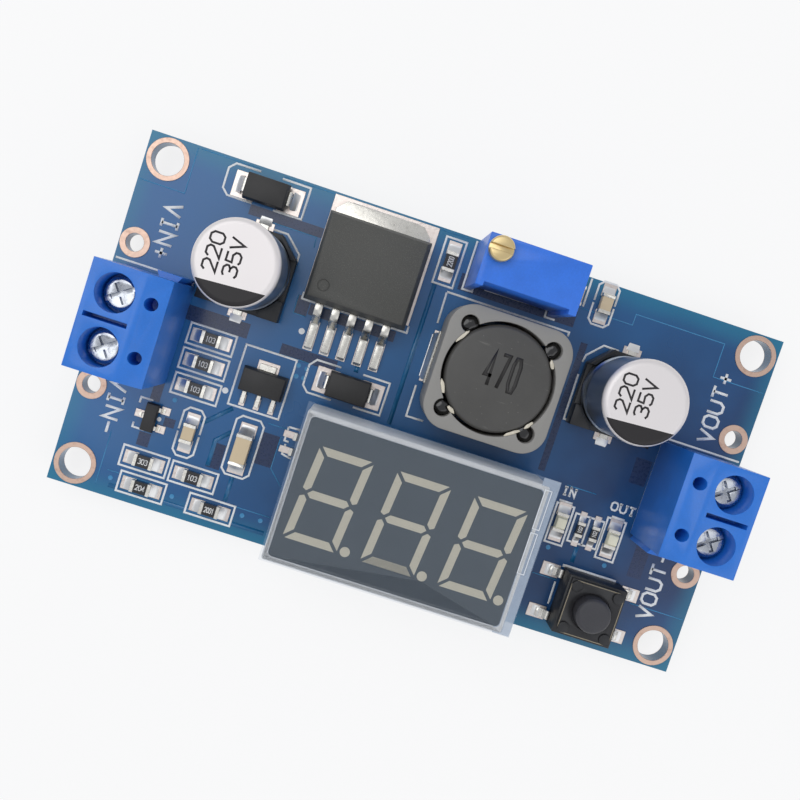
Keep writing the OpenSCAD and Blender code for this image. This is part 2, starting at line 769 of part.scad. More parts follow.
// A can with a rounded top edge, a rounded foot and a rolled crimp above it
module cap_can() {
    seat = on_land + cap_base_t;
    height = top + can_top - seat;
    translate([0, 0, seat]) rotate_extrude() difference() {
        union() {
            translate([0, can_foot_r]) square([can_r, height - can_foot_r - can_edge_r]);
            square([can_r - can_foot_r, height - can_edge_r]);
            square([can_r - can_edge_r, height]);
            translate([can_r - can_edge_r, height - can_edge_r]) circle(can_edge_r);
            translate([can_r - can_foot_r, can_foot_r]) circle(can_foot_r);
        }
        translate([can_r + 2 * can_crimp, can_crimp_z]) circle(3 * can_crimp);
    }
}

module input_capacitor_can() { color("gainsboro") at(input_capacitor_spot) cap_can(); }
module output_capacitor_can() { color("gainsboro") at(output_capacitor_spot) cap_can(); }
module input_capacitor_base() { color("#222222") at(input_capacitor_spot) cap_base(); }
module output_capacitor_base() { color("#222222") at(output_capacitor_spot) cap_base(); }
module input_capacitor_leads() { color("silver") at(input_capacitor_spot) cap_leads(); }
module output_capacitor_leads() { color("silver") at(output_capacitor_spot) cap_leads(); }

// Regulator

regulator_band_z = on_land + regulator_exit_h;
tab_inner = 1.3;
tab_corner = 0.9;
tab_land_shift = [0.05, 1.25];
dimple_d = 1.1;
dimple_depth = 0.15;
dimple_spot = [-3.5, -2.7];

module regulator_body() {
    size = [regulator_w, regulator_l, regulator_h - land_t];
    color("#4a4a48") at(regulator_spot) difference() {
        moulded_package(size, on_land, regulator_band_z, regulator_lead_t, regulator_draft);
        tab_plate(cut);
        at(dimple_spot, top + regulator_h - dimple_depth) cylinder(d = dimple_d, h = cut);
    }
}

// The heat tab's plate, which the body is moulded over
module tab_plate(below = 0) {
    inner = regulator_l / 2 - tab_inner;
    outer = regulator_l / 2 + tab_reach;
    corner = tab_corner;
    half = tab_w / 2;
    translate([0, 0, on_land - below]) linear_extrude(height = tab_t + below) polygon([
        [-half, -inner], [half, -inner], [half, outer - corner],
        [half - corner, outer], [-half + corner, outer], [-half, outer - corner]
    ]);
}

module regulator_tab() { color("gainsboro") at(regulator_spot) tab_plate(); }

module at_regulator_leads() {
    for (i = [-2 : 2]) translate([i * regulator_pitch, -regulator_l / 2, 0]) rotate([0, 0, -90]) children();
}

module regulator_leads() {
    half = regulator_lead_t / 2;
    path = gull_path(regulator_band_z + half, on_land + half, regulator_shoulder, regulator_lead_run,
        regulator_lead_reach);
    color("gainsboro") at(regulator_spot) at_regulator_leads()
        bent_strip(path, regulator_lead_t, regulator_lead_w, 0.9 * regulator_lead_t);
}

module regulator_lands() {
    at(tab_land_shift) land(tab_land_w, tab_land_l);
    at_regulator_leads() translate([regulator_lead_reach + land_out - regulator_land_l / 2, 0, 0])
        land(regulator_land_l, regulator_lead_w + 2 * land_spread);
}

// Inductor

inductor_seat = on_land + clip_t;
drum_drop = 0.1;
drum_chamfer = 0.25;
notch_r = 0.85;
notch_setback = 0.25;
clip_foot = 2.2;

module inductor_shield() {
    notch_place = inductor_w / 2 - notch_setback;
    color("#55534f") at(inductor_spot, inductor_seat) difference() {
        linear_extrude(height = top + inductor_h - inductor_seat) difference() {
            rounded_square(inductor_w, inductor_w, inductor_corner);
            circle(d = drum_d + 2 * drum_gap);
            for (turn = [45 : 90 : 315]) rotate(turn) translate([notch_place, 0]) circle(notch_r);
        }
    }
}

// The drum core: a post between two flanges, both with a small chamfer
module inductor_drum() {
    drum_h = top + inductor_h - inductor_seat - drum_drop;
    r = drum_d / 2;
    color("#4a4a48") at(inductor_spot, inductor_seat) rotate_extrude() polygon([
        [0, 0], [r, 0], [r, flange_t], [post_d / 2, flange_t],
        [post_d / 2, drum_h - flange_t], [r, drum_h - flange_t],
        [r, drum_h - drum_chamfer], [r - drum_chamfer, drum_h], [0, drum_h]
    ]);
}

// Copper turns that fill the drum from flange to flange
module inductor_winding() {
    low = flange_t;
    high = top + inductor_h - inductor_seat - drum_drop - flange_t;
    turns = floor((high - low) / winding_wire_d);
    wire_r = (high - low) / turns / 2;
    core_r = winding_d / 2 - wire_r;
    color("peru") at(inductor_spot, inductor_seat) rotate_extrude() {
        translate([post_d / 2, low]) square([core_r - post_d / 2, high - low]);
        for (i = [0 : turns - 1]) translate([core_r, low + wire_r * (2 * i + 1)]) circle(wire_r);
    }
}

module inductor_clips() {
    color("silver") at(inductor_spot) for (turn = [0, 180]) rotate([0, 0, turn])
        translate([inductor_w / 2, -clip_w / 2, on_land]) {
            translate([-clip_foot, 0, 0]) cube([clip_foot + clip_t, clip_w, clip_t]);
            cube([clip_t, clip_w, clip_h]);
        }
}

// Trimmer

trimmer_top = top + trimmer_h;
trimmer_foot_l = 1.1;
adjuster_slot_w = 0.45;
adjuster_slot_depth = 0.6;
adjuster_bevel = 0.15;

module at_adjuster() {
    place = [adjuster_inset - trimmer_l / 2, trimmer_w / 2 - adjuster_inset];
    at(trimmer_spot) at(place, trimmer_top) children();
}

module trimmer_housing() {
    foot = [trimmer_rib, trimmer_foot_l];
    color("royalblue") difference() {
        at(trimmer_spot) {
            difference() {
                block([trimmer_l, trimmer_w, trimmer_h - trimmer_foot_h], top + trimmer_foot_h);
                translate([0, -trimmer_w / 2, 0])
                    block([trimmer_l - 2 * trimmer_rib, 2 * trimmer_recess, trimmer_h + cut], top);
            }
            for (x = [-1, 1], y = [-1, 1])
                translate([x * (trimmer_l - foot.x) / 2, y * (trimmer_w - foot.y) / 2, 0])
                    block([foot.x, foot.y, trimmer_foot_h], top);
        }
        at_adjuster() translate([0, 0, -adjuster_depth - adjuster_gap])
            cylinder(d = adjuster_shaft_d + 2 * adjuster_gap, h = adjuster_depth + cut);
    }
}

module trimmer_screw() {
    color("goldenrod") at_adjuster() difference() {
        union() {
            translate([0, 0, -adjuster_depth])
                cylinder(d = adjuster_shaft_d, h = adjuster_depth + adjuster_h / 2);
            cylinder(d = adjuster_d, h = adjuster_h - adjuster_bevel);
            translate([0, 0, adjuster_h - adjuster_bevel])
                cylinder(d1 = adjuster_d, d2 = adjuster_d - 2 * adjuster_bevel, h = adjuster_bevel);
        }
        block([adjuster_d + cut, adjuster_slot_w, adjuster_h], adjuster_h - adjuster_slot_depth);
    }
}

module trimmer_pins() {
    color("silver") at_trimmer_pins()
        translate([0, 0, pin_tip]) cylinder(d = trimmer_pin_d, h = top + trimmer_foot_h - pin_tip);
}

// Display

display_face = top + display_top;
front_corner = 0.4;
shell_corner = 0.3;
film_over = [1, 0.8];
film_shift = [0.3, 0.3];
point_shift = 0.35;
digit_drop = 0.15;

module display_shell() {
    color("whitesmoke") at(display_spot) difference() {
        translate([0, 0, top + display_standoff])
            linear_extrude(height = display_top - display_standoff)
                rounded_square(display_l, display_w, shell_corner);
        translate([0, 0, display_face - front_t])
            linear_extrude(height = front_t + cut) rounded_square(front_l, front_w, front_corner);
    }
}

function slanted(points) = [for (p = points) [p.x + p.y * tan(digit_slant), p.y]];

// One digit's segments as flat shapes, centred on the digit
module digit_shapes() {
    w = digit_w / 2;
    h = digit_h / 2;
    s = segment_w;
    g = segment_gap;
    for (flip = [-1, 1]) {
        polygon(slanted([
            [g - w, flip * h], [w - g, flip * h],
            [w - g - s, flip * (h - s)], [g + s - w, flip * (h - s)]
        ]));
        for (side = [-1, 1]) polygon(slanted([
            [side * w, flip * (h - g)], [side * (w - s), flip * (h - g - s)],
            [side * (w - s), flip * (g + s / 2)], [side * (w - s / 2), flip * g],
            [side * w, flip * (g + s / 4)]
        ]));
    }
    polygon(slanted([
        [-w + s / 2 + g, 0], [g + s - w, s / 2], [w - s - g, s / 2],
        [w - s / 2 - g, 0], [w - s - g, -s / 2], [g + s - w, -s / 2]
    ]));
    translate([w + point_shift, (point_d - segment_gap) / 2 - h]) circle(d = point_d);
}

module display_windows() {
    for (i = [-1, 0, 1]) translate([i * digit_pitch, -digit_drop]) digit_shapes();
}

module display_front() {
    color("#15171a") at(display_spot, display_face - front_t)
        linear_extrude(height = front_t) difference() {
            rounded_square(front_l, front_w, front_corner);
            display_windows();
        }
}

module display_segments() {
    color("#c9c2a8") at(display_spot, display_face - front_t)
        linear_extrude(height = front_t) display_windows();
}

module display_film() {
    film = [display_l + film_over.x, display_w + film_over.y, film_t];
    color("lightcyan", 0.5) at(display_spot) at(film_shift) block(film, display_face);
}

module display_pins() {
    color("silver") at_display_pins()
        block([display_pin_t, display_pin_t / 2, top + display_standoff - pin_tip], pin_tip);
}

// Display driver chip, on the board under the display

driver_pitch = 0.65;
driver_count = 10;
driver_lead_w = 0.25;
driver_lead_t = 0.12;
driver_size = [6.5, 4.4, 1];
driver_reach = 3.2;
driver_clear = 0.05;
driver_draft = 0.1;
driver_shoulder = 0.25;
driver_lead_run = 0.15;
driver_band_z = on_land + 0.45;

module at_driver_leads() {
    for (i = [0 : driver_count - 1], side = [-1, 1])
        translate([(i - (driver_count - 1) / 2) * driver_pitch, 0, 0]) rotate([0, 0, side * 90]) children();
}

module display_driver_body() {
    color("#222222") at(display_driver_spot)
        moulded_package(driver_size, on_land + driver_clear, driver_band_z, driver_lead_t, driver_draft);
}

module display_driver_leads() {
    reach = driver_reach - driver_size.y / 2;
    half = driver_lead_t / 2;
    path = gull_path(driver_band_z + half, on_land + half, driver_shoulder, driver_lead_run, reach);
    color("silver") at(display_driver_spot) at_driver_leads()
        translate([driver_size.y / 2, 0, 0])
            bent_strip(path, driver_lead_t, driver_lead_w, half);
}

// Push switch

switch_floor_t = 1;
switch_floor = top + switch_floor_t;
switch_top = top + switch_h;
dome_h = dome_pressed_h + button_travel;
switch_pocket_d = 4.6;
nub_d = 1.6;
nub_gap = 0.02;
flange_h = 0.7;
button_edge = 0.25;
cover_corner = 0.7;
rivet_rise = 0.15;
switch_lead_w = 0.9;
switch_shoulder = 0.35;
switch_lead_run = 0.3;
rivet_d = 1.1;
rivet_place = 2.15;
switch_lead_place = 2.25;
switch_lead_t = 0.2;
switch_lead_z = on_land + 0.5;

module at_rivets() {
    for (x = [-1, 1], y = [-1, 1]) translate([x * rivet_place, y * rivet_place, 0]) children();
}

module at_switch_leads() {
    for (turn = [0, 180], y = [-1, 1])
        translate([0, y * switch_lead_place, 0]) rotate([0, 0, turn]) children();
}

module switch_base() {
    color("#222222") at(switch_spot) {
        difference() {
            block([switch_w, switch_w, switch_h], top);
            translate([0, 0, switch_floor]) cylinder(d = switch_pocket_d, h = switch_h);
        }
        at_rivets() translate([0, 0, switch_top - skin])
            cylinder(d = rivet_d, h = switch_cover_t + rivet_rise);
    }
}

module switch_cover() {
    half = switch_cover_w / 2;
    corner = cover_corner;
    color("#333333") at(switch_spot, switch_top) linear_extrude(height = switch_cover_t) difference() {
        polygon([
            [-half, -half + corner], [-half + corner, -half], [half, -half],
            [half, half - corner], [half - corner, half], [-half, half]
        ]);
        circle(d = button_d + 2 * button_gap);
        at_rivets() circle(d = rivet_d);
    }
}

// The button: a nub on the dome, a flange under the cover and the round cap above it
module switch_button() {
    flange_z = switch_top - flange_h;
    nub_z = switch_floor + dome_h + nub_gap;
    cap_top = switch_top + switch_cover_t + button_rise;
    edge = button_edge;
    color("#3a3a3c") at(switch_spot) {
        translate([0, 0, nub_z]) cylinder(d = nub_d, h = switch_top - nub_z);
        translate([0, 0, flange_z]) cylinder(d = switch_pocket_d - 2 * button_gap, h = flange_h);
        translate([0, 0, flange_z]) cylinder(d = button_d, h = cap_top - flange_z - edge);
        translate([0, 0, cap_top - edge]) cylinder(d1 = button_d, d2 = button_d - 2 * edge, h = edge);
    }
}

// The snap dome, a thin arched disc on the switch's floor
module switch_dome() {
    r = dome_d / 2;
    rise = dome_h - dome_t;
    arch_r = (r * r + rise * rise) / (2 * rise);
    steps = 8;
    arc = [
        for (i = [0 : steps])
            let (x = r * i / steps)
            [x, sqrt(arch_r * arch_r - x * x) - arch_r + rise]
    ];
    color("gold") at(switch_spot, switch_floor) rotate_extrude()
        polygon(concat(arc, reversed([for (p = arc) [p.x, p.y + dome_t]])));
}

module switch_leads() {
    reach = switch_lead_reach - switch_w / 2;
    path = gull_path(switch_lead_z, on_land + switch_lead_t / 2, switch_shoulder, switch_lead_run, reach);
    color("silver") at(switch_spot) at_switch_leads() translate([switch_w / 2, 0, 0])
        bent_strip(path, switch_lead_t, switch_lead_w, 0.75 * switch_lead_t);
}

// Diodes

diode_lead_t = 0.2;
diode_band_z = on_land + diode_h / 2 - diode_lead_t / 2;
diode_draft = 0.12;
diode_lead_out = 0.3;
diode_lead_in = 1;

module diode_body() {
    size = [diode_l, diode_w, diode_h - diode_lead_t];
    moulded_package(size, on_land + diode_lead_t, diode_band_z, diode_lead_t, diode_draft);
}

module diode_leads() {
    out = diode_lead_out;
    foot_z = on_land + diode_lead_t / 2;
    exit_z = diode_band_z + diode_lead_t / 2;
    path = [[0, exit_z], [out, exit_z], [out, foot_z], [-diode_lead_in, foot_z]];
    for (turn = [0, 180]) rotate([0, 0, turn]) translate([diode_l / 2, 0, 0])
        bent_strip(path, diode_lead_t, diode_lead_w, diode_lead_t);
}

module input_diode_body() { color("#2c2c2c") at(input_diode_spot) diode_body(); }
module input_diode_leads() { color("silver") at(input_diode_spot) diode_leads(); }
module catch_diode_body() { color("#2c2c2c") at(catch_diode_spot) diode_body(); }
module catch_diode_leads() { color("silver") at(catch_diode_spot) diode_leads(); }

// Logic supply: a flat-lead package with a tab

logic_size = [4.5, 2.5, 1.5];
logic_pitch = 1.5;
logic_lead = [0.45, 1.25, 0.4];
logic_tab = [1.7, 0.65];
logic_draft = 0.15;
logic_land = [0.6, 1.2];
logic_tab_land = [2.2, 1.4];

module logic_supply_body() {
    color("#333333") at(logic_supply_spot) {
        upper = [logic_size.x - 2 * logic_draft, logic_size.y - 2 * logic_draft];
        block([logic_size.x, logic_size.y, logic_lead.z], on_land);
        tapered_block(logic_size, upper, logic_size.z - logic_lead.z, on_land + logic_lead.z);
    }
}

module logic_supply_leads() {
    color("silver") at(logic_supply_spot) {
        for (i = [-1, 0, 1])
            translate([i * logic_pitch, -(logic_size.y + logic_lead.y) / 2, 0]) block(logic_lead, on_land);
        translate([0, (logic_size.y + logic_tab.y) / 2, 0])
            block([logic_tab.x, logic_tab.y, logic_lead.z], on_land);
    }
}

module logic_supply_lands() {
    for (i = [-1, 0, 1])
        translate([i * logic_pitch, logic_land.y / 2 - logic_size.y / 2 - logic_lead.y - land_out, 0])
            land(logic_land.x, logic_land.y);
    translate([0, logic_size.y / 2 + logic_tab.y + land_out - logic_tab_land.y / 2, 0])
        land(logic_tab_land.x, logic_tab_land.y);
}

// Transistor: one lead to -X, two to +X

transistor_size = [1.3, 2.9, 1];
transistor_lead = [0.55, 0.4, 0.12];
transistor_pitch = 1.9;
transistor_clear = 0.05;
transistor_draft = 0.08;
transistor_shoulder = 0.15;
transistor_lead_run = 0.15;
transistor_land = [0.95, 0.8];
transistor_band_z = on_land + 0.45;

module at_transistor_leads() {
    rotate([0, 0, 180]) children();
    for (y = [-1, 1]) translate([0, y * transistor_pitch / 2, 0]) children();
}

module transistor_body() {
    bottom = on_land + transistor_clear;
    color("#333333") at(transistor_spot)
        moulded_package(transistor_size, bottom, transistor_band_z, transistor_lead.z, transistor_draft);
}

module transistor_leads() {
    half = transistor_lead.z / 2;
    path = gull_path(transistor_band_z + half, on_land + half, transistor_shoulder, transistor_lead_run,
        transistor_lead.x);
    color("silver") at(transistor_spot) at_transistor_leads() translate([transistor_size.x / 2, 0, 0])
        bent_strip(path, transistor_lead.z, transistor_lead.y, half);
}

module transistor_lands() {
    at_transistor_leads() translate([transistor_size.x / 2 + transistor_lead.x, 0, 0])
        land(transistor_land.x, transistor_land.y);
}

// Chip parts: a core between two metal ends

module chip_core(l, w, t) {
    block([l - 2 * end_t, w - 2 * end_t, t - 2 * end_t], on_land + end_t);
}

module chip_ends(l, w, t) {
    difference() {
        for (side = [-1, 1]) translate([side * (l - chip_end) / 2, 0, 0]) block([chip_end, w, t], on_land);
        chip_core(l, w, t);
    }
}

module chip_resistors() {
    color("#222222") {
        for (s = resistor_spots) at(s, 0, s.z) chip_core(chip_l, chip_w, resistor_t);
        for (s = small_resistor_spots) at(s, 0, s.z) chip_core(small_chip_l, small_chip_w, small_chip_t);
    }
}

module chip_resistor_ends() {
    color("silver") {
        for (s = resistor_spots) at(s, 0, s.z) chip_ends(chip_l, chip_w, resistor_t);
        for (s = small_resistor_spots) at(s, 0, s.z) chip_ends(small_chip_l, small_chip_w, small_chip_t);
    }
}

module ceramic_capacitors() {
    color("burlywood") for (s = ceramic_spots) at(s, 0, s.z) chip_core(chip_l, chip_w, ceramic_t);
    color("sienna") at(bulk_ceramic_spot, 0, bulk_ceramic_spot.z)
        chip_core(bulk_chip_l, bulk_chip_w, bulk_chip_t);
}

module ceramic_capacitor_ends() {
    color("silver") {
        for (s = ceramic_spots) at(s, 0, s.z) chip_ends(chip_l, chip_w, ceramic_t);
        at(bulk_ceramic_spot, 0, bulk_ceramic_spot.z) chip_ends(bulk_chip_l, bulk_chip_w, bulk_chip_t);
    }
}

module indicator_leds() {
    lens = [chip_l - 2 * chip_end - led_draft, chip_w - 2 * end_t];
    upper = [lens.x - 2 * led_draft, lens.y - 2 * led_draft];
    color("lightyellow") for (s = led_spots) at(s, 0, s.z) {
        chip_core(chip_l, chip_w, led_base_t);
        tapered_block(lens, upper, led_lens_h, on_land + led_base_t - end_t);
    }
}

module indicator_led_ends() {
    color("silver") for (s = led_spots) at(s, 0, s.z) chip_ends(chip_l, chip_w, led_base_t);
}

board();
hole_rings();
solder_lands();
solder_joints();
input_terminal_housing();
input_terminal_contacts();
input_plus_screw();
input_minus_screw();
input_plus_cage();
input_minus_cage();
output_terminal_housing();
output_terminal_contacts();
output_plus_screw();
output_minus_screw();
output_plus_cage();
output_minus_cage();
input_capacitor_can();
input_capacitor_base();
input_capacitor_leads();
output_capacitor_can();
output_capacitor_base();
output_capacitor_leads();
regulator_body();
regulator_tab();
regulator_leads();
inductor_shield();
inductor_drum();
inductor_winding();
inductor_clips();
trimmer_housing();
trimmer_screw();
trimmer_pins();
display_shell();
display_front();
display_segments();
display_film();
display_pins();
display_driver_body();
display_driver_leads();
switch_base();
switch_cover();
switch_button();
switch_dome();
switch_leads();
input_diode_body();
input_diode_leads();
catch_diode_body();
catch_diode_leads();
logic_supply_body();
logic_supply_leads();
transistor_body();
transistor_leads();
chip_resistors();
chip_resistor_ends();
ceramic_capacitors();
ceramic_capacitor_ends();
indicator_leds();
indicator_led_ends();
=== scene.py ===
"""The look of a buck converter module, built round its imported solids."""

import logging
import math
from dataclasses import dataclass, field
from enum import Enum
from typing import Callable, Iterable, Sequence

import bmesh
import bpy
from mathutils import Matrix, Vector


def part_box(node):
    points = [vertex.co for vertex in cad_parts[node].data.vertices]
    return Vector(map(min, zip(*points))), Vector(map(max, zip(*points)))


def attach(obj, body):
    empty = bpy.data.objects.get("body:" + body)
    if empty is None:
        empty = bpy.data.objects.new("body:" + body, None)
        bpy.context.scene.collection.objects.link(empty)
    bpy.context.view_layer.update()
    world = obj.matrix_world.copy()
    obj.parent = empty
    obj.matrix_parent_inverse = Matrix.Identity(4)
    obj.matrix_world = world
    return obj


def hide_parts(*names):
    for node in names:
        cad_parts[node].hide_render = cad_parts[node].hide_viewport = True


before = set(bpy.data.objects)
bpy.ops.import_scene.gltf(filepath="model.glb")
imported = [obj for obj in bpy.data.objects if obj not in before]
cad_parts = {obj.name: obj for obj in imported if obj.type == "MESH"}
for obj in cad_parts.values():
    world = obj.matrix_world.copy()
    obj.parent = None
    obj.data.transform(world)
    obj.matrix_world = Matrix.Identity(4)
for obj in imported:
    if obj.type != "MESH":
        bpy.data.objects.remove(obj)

log = logging.getLogger("buck_converter")

MM = 0.001
MODULE = "module"

Point = tuple[float, float]
Spot = tuple[float, float, float]
Colour = tuple[float, float, float]


def shade(red: int, green: int, blue: int) -> Colour:
    """Turns a screen colour into the linear colour that a shader reads.

    Args:
        red: Red, 0 to 255.
        green: Green, 0 to 255.
        blue: Blue, 0 to 255.

    Returns:
        The linear colour.
    """
    def linear(level: int) -> float:
        part = level / 255
        return part / 12.92 if part <= 0.04045 else ((part + 0.055) / 1.055) ** 2.4
    return linear(red), linear(green), linear(blue)


def scaled(colour: Colour, by: float) -> Colour:
    """Returns a colour made lighter or darker by a factor."""
    return tuple(min(1.0, part * by) for part in colour)


# ---------------------------------------------------------------- shaders


class Value:
    """A shader socket that can stand in sums, as a number can."""

    def __init__(self, shader: "Shader", socket: bpy.types.NodeSocket) -> None:
        """Keeps the shader and the socket."""
        self.shader = shader
        self.socket = socket

    def _sum(self, operation: str, first: "Value | float", second: "Value | float") -> "Value":
        """Returns the result of a Math node on two values."""
        return self.shader.node("ShaderNodeMath", {"operation": operation}, {0: first, 1: second})

    def __add__(self, other: "Value | float") -> "Value":
        """Returns self + other."""
        return self._sum("ADD", self, other)

    def __radd__(self, other: float) -> "Value":
        """Returns other + self."""
        return self._sum("ADD", other, self)

    def __sub__(self, other: "Value | float") -> "Value":
        """Returns self - other."""
        return self._sum("SUBTRACT", self, other)

    def __rsub__(self, other: float) -> "Value":
        """Returns other - self."""
        return self._sum("SUBTRACT", other, self)

    def __mul__(self, other: "Value | float") -> "Value":
        """Returns self * other."""
        return self._sum("MULTIPLY", self, other)

    def __rmul__(self, other: float) -> "Value":
        """Returns other * self."""
        return self._sum("MULTIPLY", other, self)

    def __truediv__(self, other: "Value | float") -> "Value":
        """Returns self / other."""
        return self._sum("DIVIDE", self, other)

    def __gt__(self, other: "Value | float") -> "Value":
        """Returns 1 where self is above other, else 0."""
        return self._sum("GREATER_THAN", self, other)

    def __lt__(self, other: "Value | float") -> "Value":
        """Returns 1 where self is below other, else 0."""
        return self._sum("LESS_THAN", self, other)


class Shader:
    """A material whose nodes are written as expressions."""

    def __init__(self, name: str) -> None:
        """Makes an empty material with one Principled shader.

        Args:
            name: The material's name.
        """
        self.material = bpy.data.materials.new(name)
        self.material.use_nodes = True
        self.tree = self.material.node_tree
        self.tree.nodes.clear()
        self.surface = self.tree.nodes.new("ShaderNodeBsdfPrincipled")
        output = self.tree.nodes.new("ShaderNodeOutputMaterial")
        self.tree.links.new(self.surface.outputs[0], output.inputs["Surface"])
        self.output = output

    def node(self, kind: str, settings: dict | None = None, inputs: dict | None = None, out: int | str = 0) -> Value:
        """Adds a node.

        Args:
            kind: The node's type.
            settings: Its own settings; "stops" gives a ramp's positions and colours.
            inputs: Values or links by socket name or number.
            out: The output that is wanted.

        Returns:
            The wanted output as a value.
        """
        made = self.tree.nodes.new(kind)
        for key, setting in (settings or {}).items():
            if key == "stops":
                ramp = made.color_ramp.elements
                while len(ramp) < len(setting):
                    ramp.new(0.5)
                for element, (position, colour) in zip(ramp, setting):
                    element.position = position
                    element.color = (*colour, 1)
            else:
                setattr(made, key, setting)
        for key, given in (inputs or {}).items():
            self.feed(made.inputs[key], given)
        return Value(self, made.outputs[out])

    def feed(self, socket: bpy.types.NodeSocket, given: "Value | float | Sequence[float]") -> None:
        """Links a value to a socket, or sets the socket's own number or colour."""
        if isinstance(given, Value):
            self.tree.links.new(given.socket, socket)
        elif isinstance(given, tuple) and socket.type == "RGBA":
            socket.default_value = (*given[:3], 1)
        else:
            socket.default_value = given

    def set(self, **sockets: "Value | float | Sequence[float]") -> None:
        """Feeds the Principled shader; a socket's name has _ in place of each space."""
        for key, given in sockets.items():
            self.feed(self.surface.inputs[key.replace("_", " ")], given)

    def place(self, stretch: Spot = (1, 1, 1)) -> Value:
        """Returns the place on the part in millimetres, stretched along each axis."""
        coords = self.node("ShaderNodeTexCoord", out="Object")
        by = tuple(part / MM for part in stretch)
        return self.node("ShaderNodeVectorMath", {"operation": "MULTIPLY"}, {0: coords, 1: by})

    def axes(self) -> tuple[Value, Value, Value]:
        """Returns the place's X, Y and Z in millimetres, as three values."""
        split = self.node("ShaderNodeSeparateXYZ", None, {0: self.place()})
        node = split.socket.node
        return Value(self, node.outputs[0]), Value(self, node.outputs[1]), Value(self, node.outputs[2])

    def noise(self, per_mm: float, detail: float = 3, stretch: Spot = (1, 1, 1), rough: float = 0.5) -> Value:
        """Returns noise, around one half, with about so many lumps a millimetre."""
        return self.node("ShaderNodeTexNoise", None, {
            "Vector": self.place(stretch), "Scale": per_mm, "Detail": detail, "Roughness": rough})

    def cells(self, per_mm: float) -> Value:
        """Returns the distance to the nearest of many scattered points."""
        return self.node("ShaderNodeTexVoronoi", None, {"Vector": self.place(), "Scale": per_mm})

    def steps(self, value: Value, *stops: tuple[float, Colour]) -> Value:
        """Returns the colour that a ramp gives a value."""
        return self.node("ShaderNodeValToRGB", {"stops": stops}, {0: value})

    def between(self, value: Value, low: float, high: float) -> Value:
        """Returns 0 below low, 1 above high and a smooth rise between."""
        return self.node("ShaderNodeMapRange", {"interpolation_type": "SMOOTHSTEP"}, {0: value, 1: low, 2: high})

    def mix(self, share: "Value | float", first: "Value | Colour", second: "Value | Colour") -> Value:
        """Returns a mix of two colours."""
        return self.node("ShaderNodeMix", {"data_type": "RGBA"}, {0: share, 6: first, 7: second}, out=2)

    def bump(self, height: Value, depth: float) -> None:
        """Raises the surface by a height, times a depth in millimetres."""
        raised = self.node("ShaderNodeBump", None, {"Height": height, "Distance": depth * MM})
        self.set(Normal=raised)


# ---------------------------------------------------------------- finishes


@dataclass(frozen=True)
class Moulded:
    """Moulded plastic or epoxy with a fine grain.

    Attributes:
        tint: Main colour.
        rough: Mean roughness.
        grain: Grain lumps a millimetre.
        depth: Grain depth in millimetres.
        mottle: Share by which the tint varies.
        shine: Weight of a clear coat.
    """

    tint: Colour
    rough: float = 0.4
    grain: float = 9
    depth: float = 0.004
    mottle: float = 0.08
    shine: float = 0.0

    def dress(self, shader: Shader) -> None:
        """Writes this finish into a shader."""
        broad = shader.noise(0.45, 2)
        fine = shader.noise(self.grain, 4, rough=0.65)
        tone = shader.between(broad * 0.5 + fine * 0.5, 0.3, 0.7)
        shader.set(
            Base_Color=shader.mix(tone, scaled(self.tint, 1 - self.mottle), scaled(self.tint, 1 + self.mottle)),
            Roughness=self.rough - 0.06 + fine * 0.12, Coat_Weight=self.shine, Coat_Roughness=0.12)
        shader.bump(fine, self.depth)


@dataclass(frozen=True)
class Speckled:
    """Filled moulding compound with light and dark flecks.

    Attributes:
        tint: Main colour.
        fleck: Colour of the light flecks.
        rough: Roughness.
    """

    tint: Colour
    fleck: Colour
    rough: float = 0.6

    def dress(self, shader: Shader) -> None:
        """Writes this finish into a shader."""
        fine = shader.noise(11, 5, rough=0.8)
        sparks = shader.between(shader.noise(16, 2), 0.6, 0.72)
        pits = shader.between(shader.noise(13, 3), 0.62, 0.42)
        body = shader.mix(fine, scaled(self.tint, 0.62), scaled(self.tint, 1.35))
        body = shader.mix(pits * 0.35, body, scaled(self.tint, 0.45))
        shader.set(Base_Color=shader.mix(sparks * 0.5, body, self.fleck), Roughness=self.rough)
        shader.bump(fine, 0.012)


@dataclass(frozen=True)
class Tinned:
    """Plated or bare metal with soft dents and stains.

    Attributes:
        tint: Colour of the metal.
        rough: Mean roughness.
        stain: Colour of the stains.
        stained: Share that the stains cover.
        waves: Depth of the dents in millimetres.
        grain: Lumps a millimetre.
        drawn: Stretch of the grain along each axis.
    """

    tint: Colour
    rough: float = 0.3
    stain: Colour = (0.35, 0.33, 0.3)
    stained: float = 0.25
    waves: float = 0.02
    grain: float = 2.5
    drawn: Spot = (1, 1, 1)

    def dress(self, shader: Shader) -> None:
        """Writes this finish into a shader."""
        soft = shader.noise(self.grain, 3, self.drawn)
        patch = shader.between(shader.noise(self.grain * 0.6, 4, self.drawn, 0.7), 0.5, 0.78)
        shader.set(
            Base_Color=shader.mix(patch * self.stained, self.tint, self.stain), Metallic=1.0,
            Roughness=self.rough + (soft - 0.5) * 0.25)
        shader.bump(soft, self.waves)


@dataclass(frozen=True)
class Printed:
    """Ink or paint in one plain tone with a slightly uneven edge of colour.

    Attributes:
        tint: Colour of the ink.
        rough: Roughness.
        uneven: Share by which the ink varies.
    """

    tint: Colour
    rough: float = 0.5
    uneven: float = 0.1

    def dress(self, shader: Shader) -> None:
        """Writes this finish into a shader."""
        worn = shader.noise(5, 4, rough=0.7)
        shader.set(
            Base_Color=shader.mix(worn, scaled(self.tint, 1 - self.uneven), scaled(self.tint, 1 + self.uneven)),
            Roughness=self.rough)
        shader.bump(worn, 0.004)


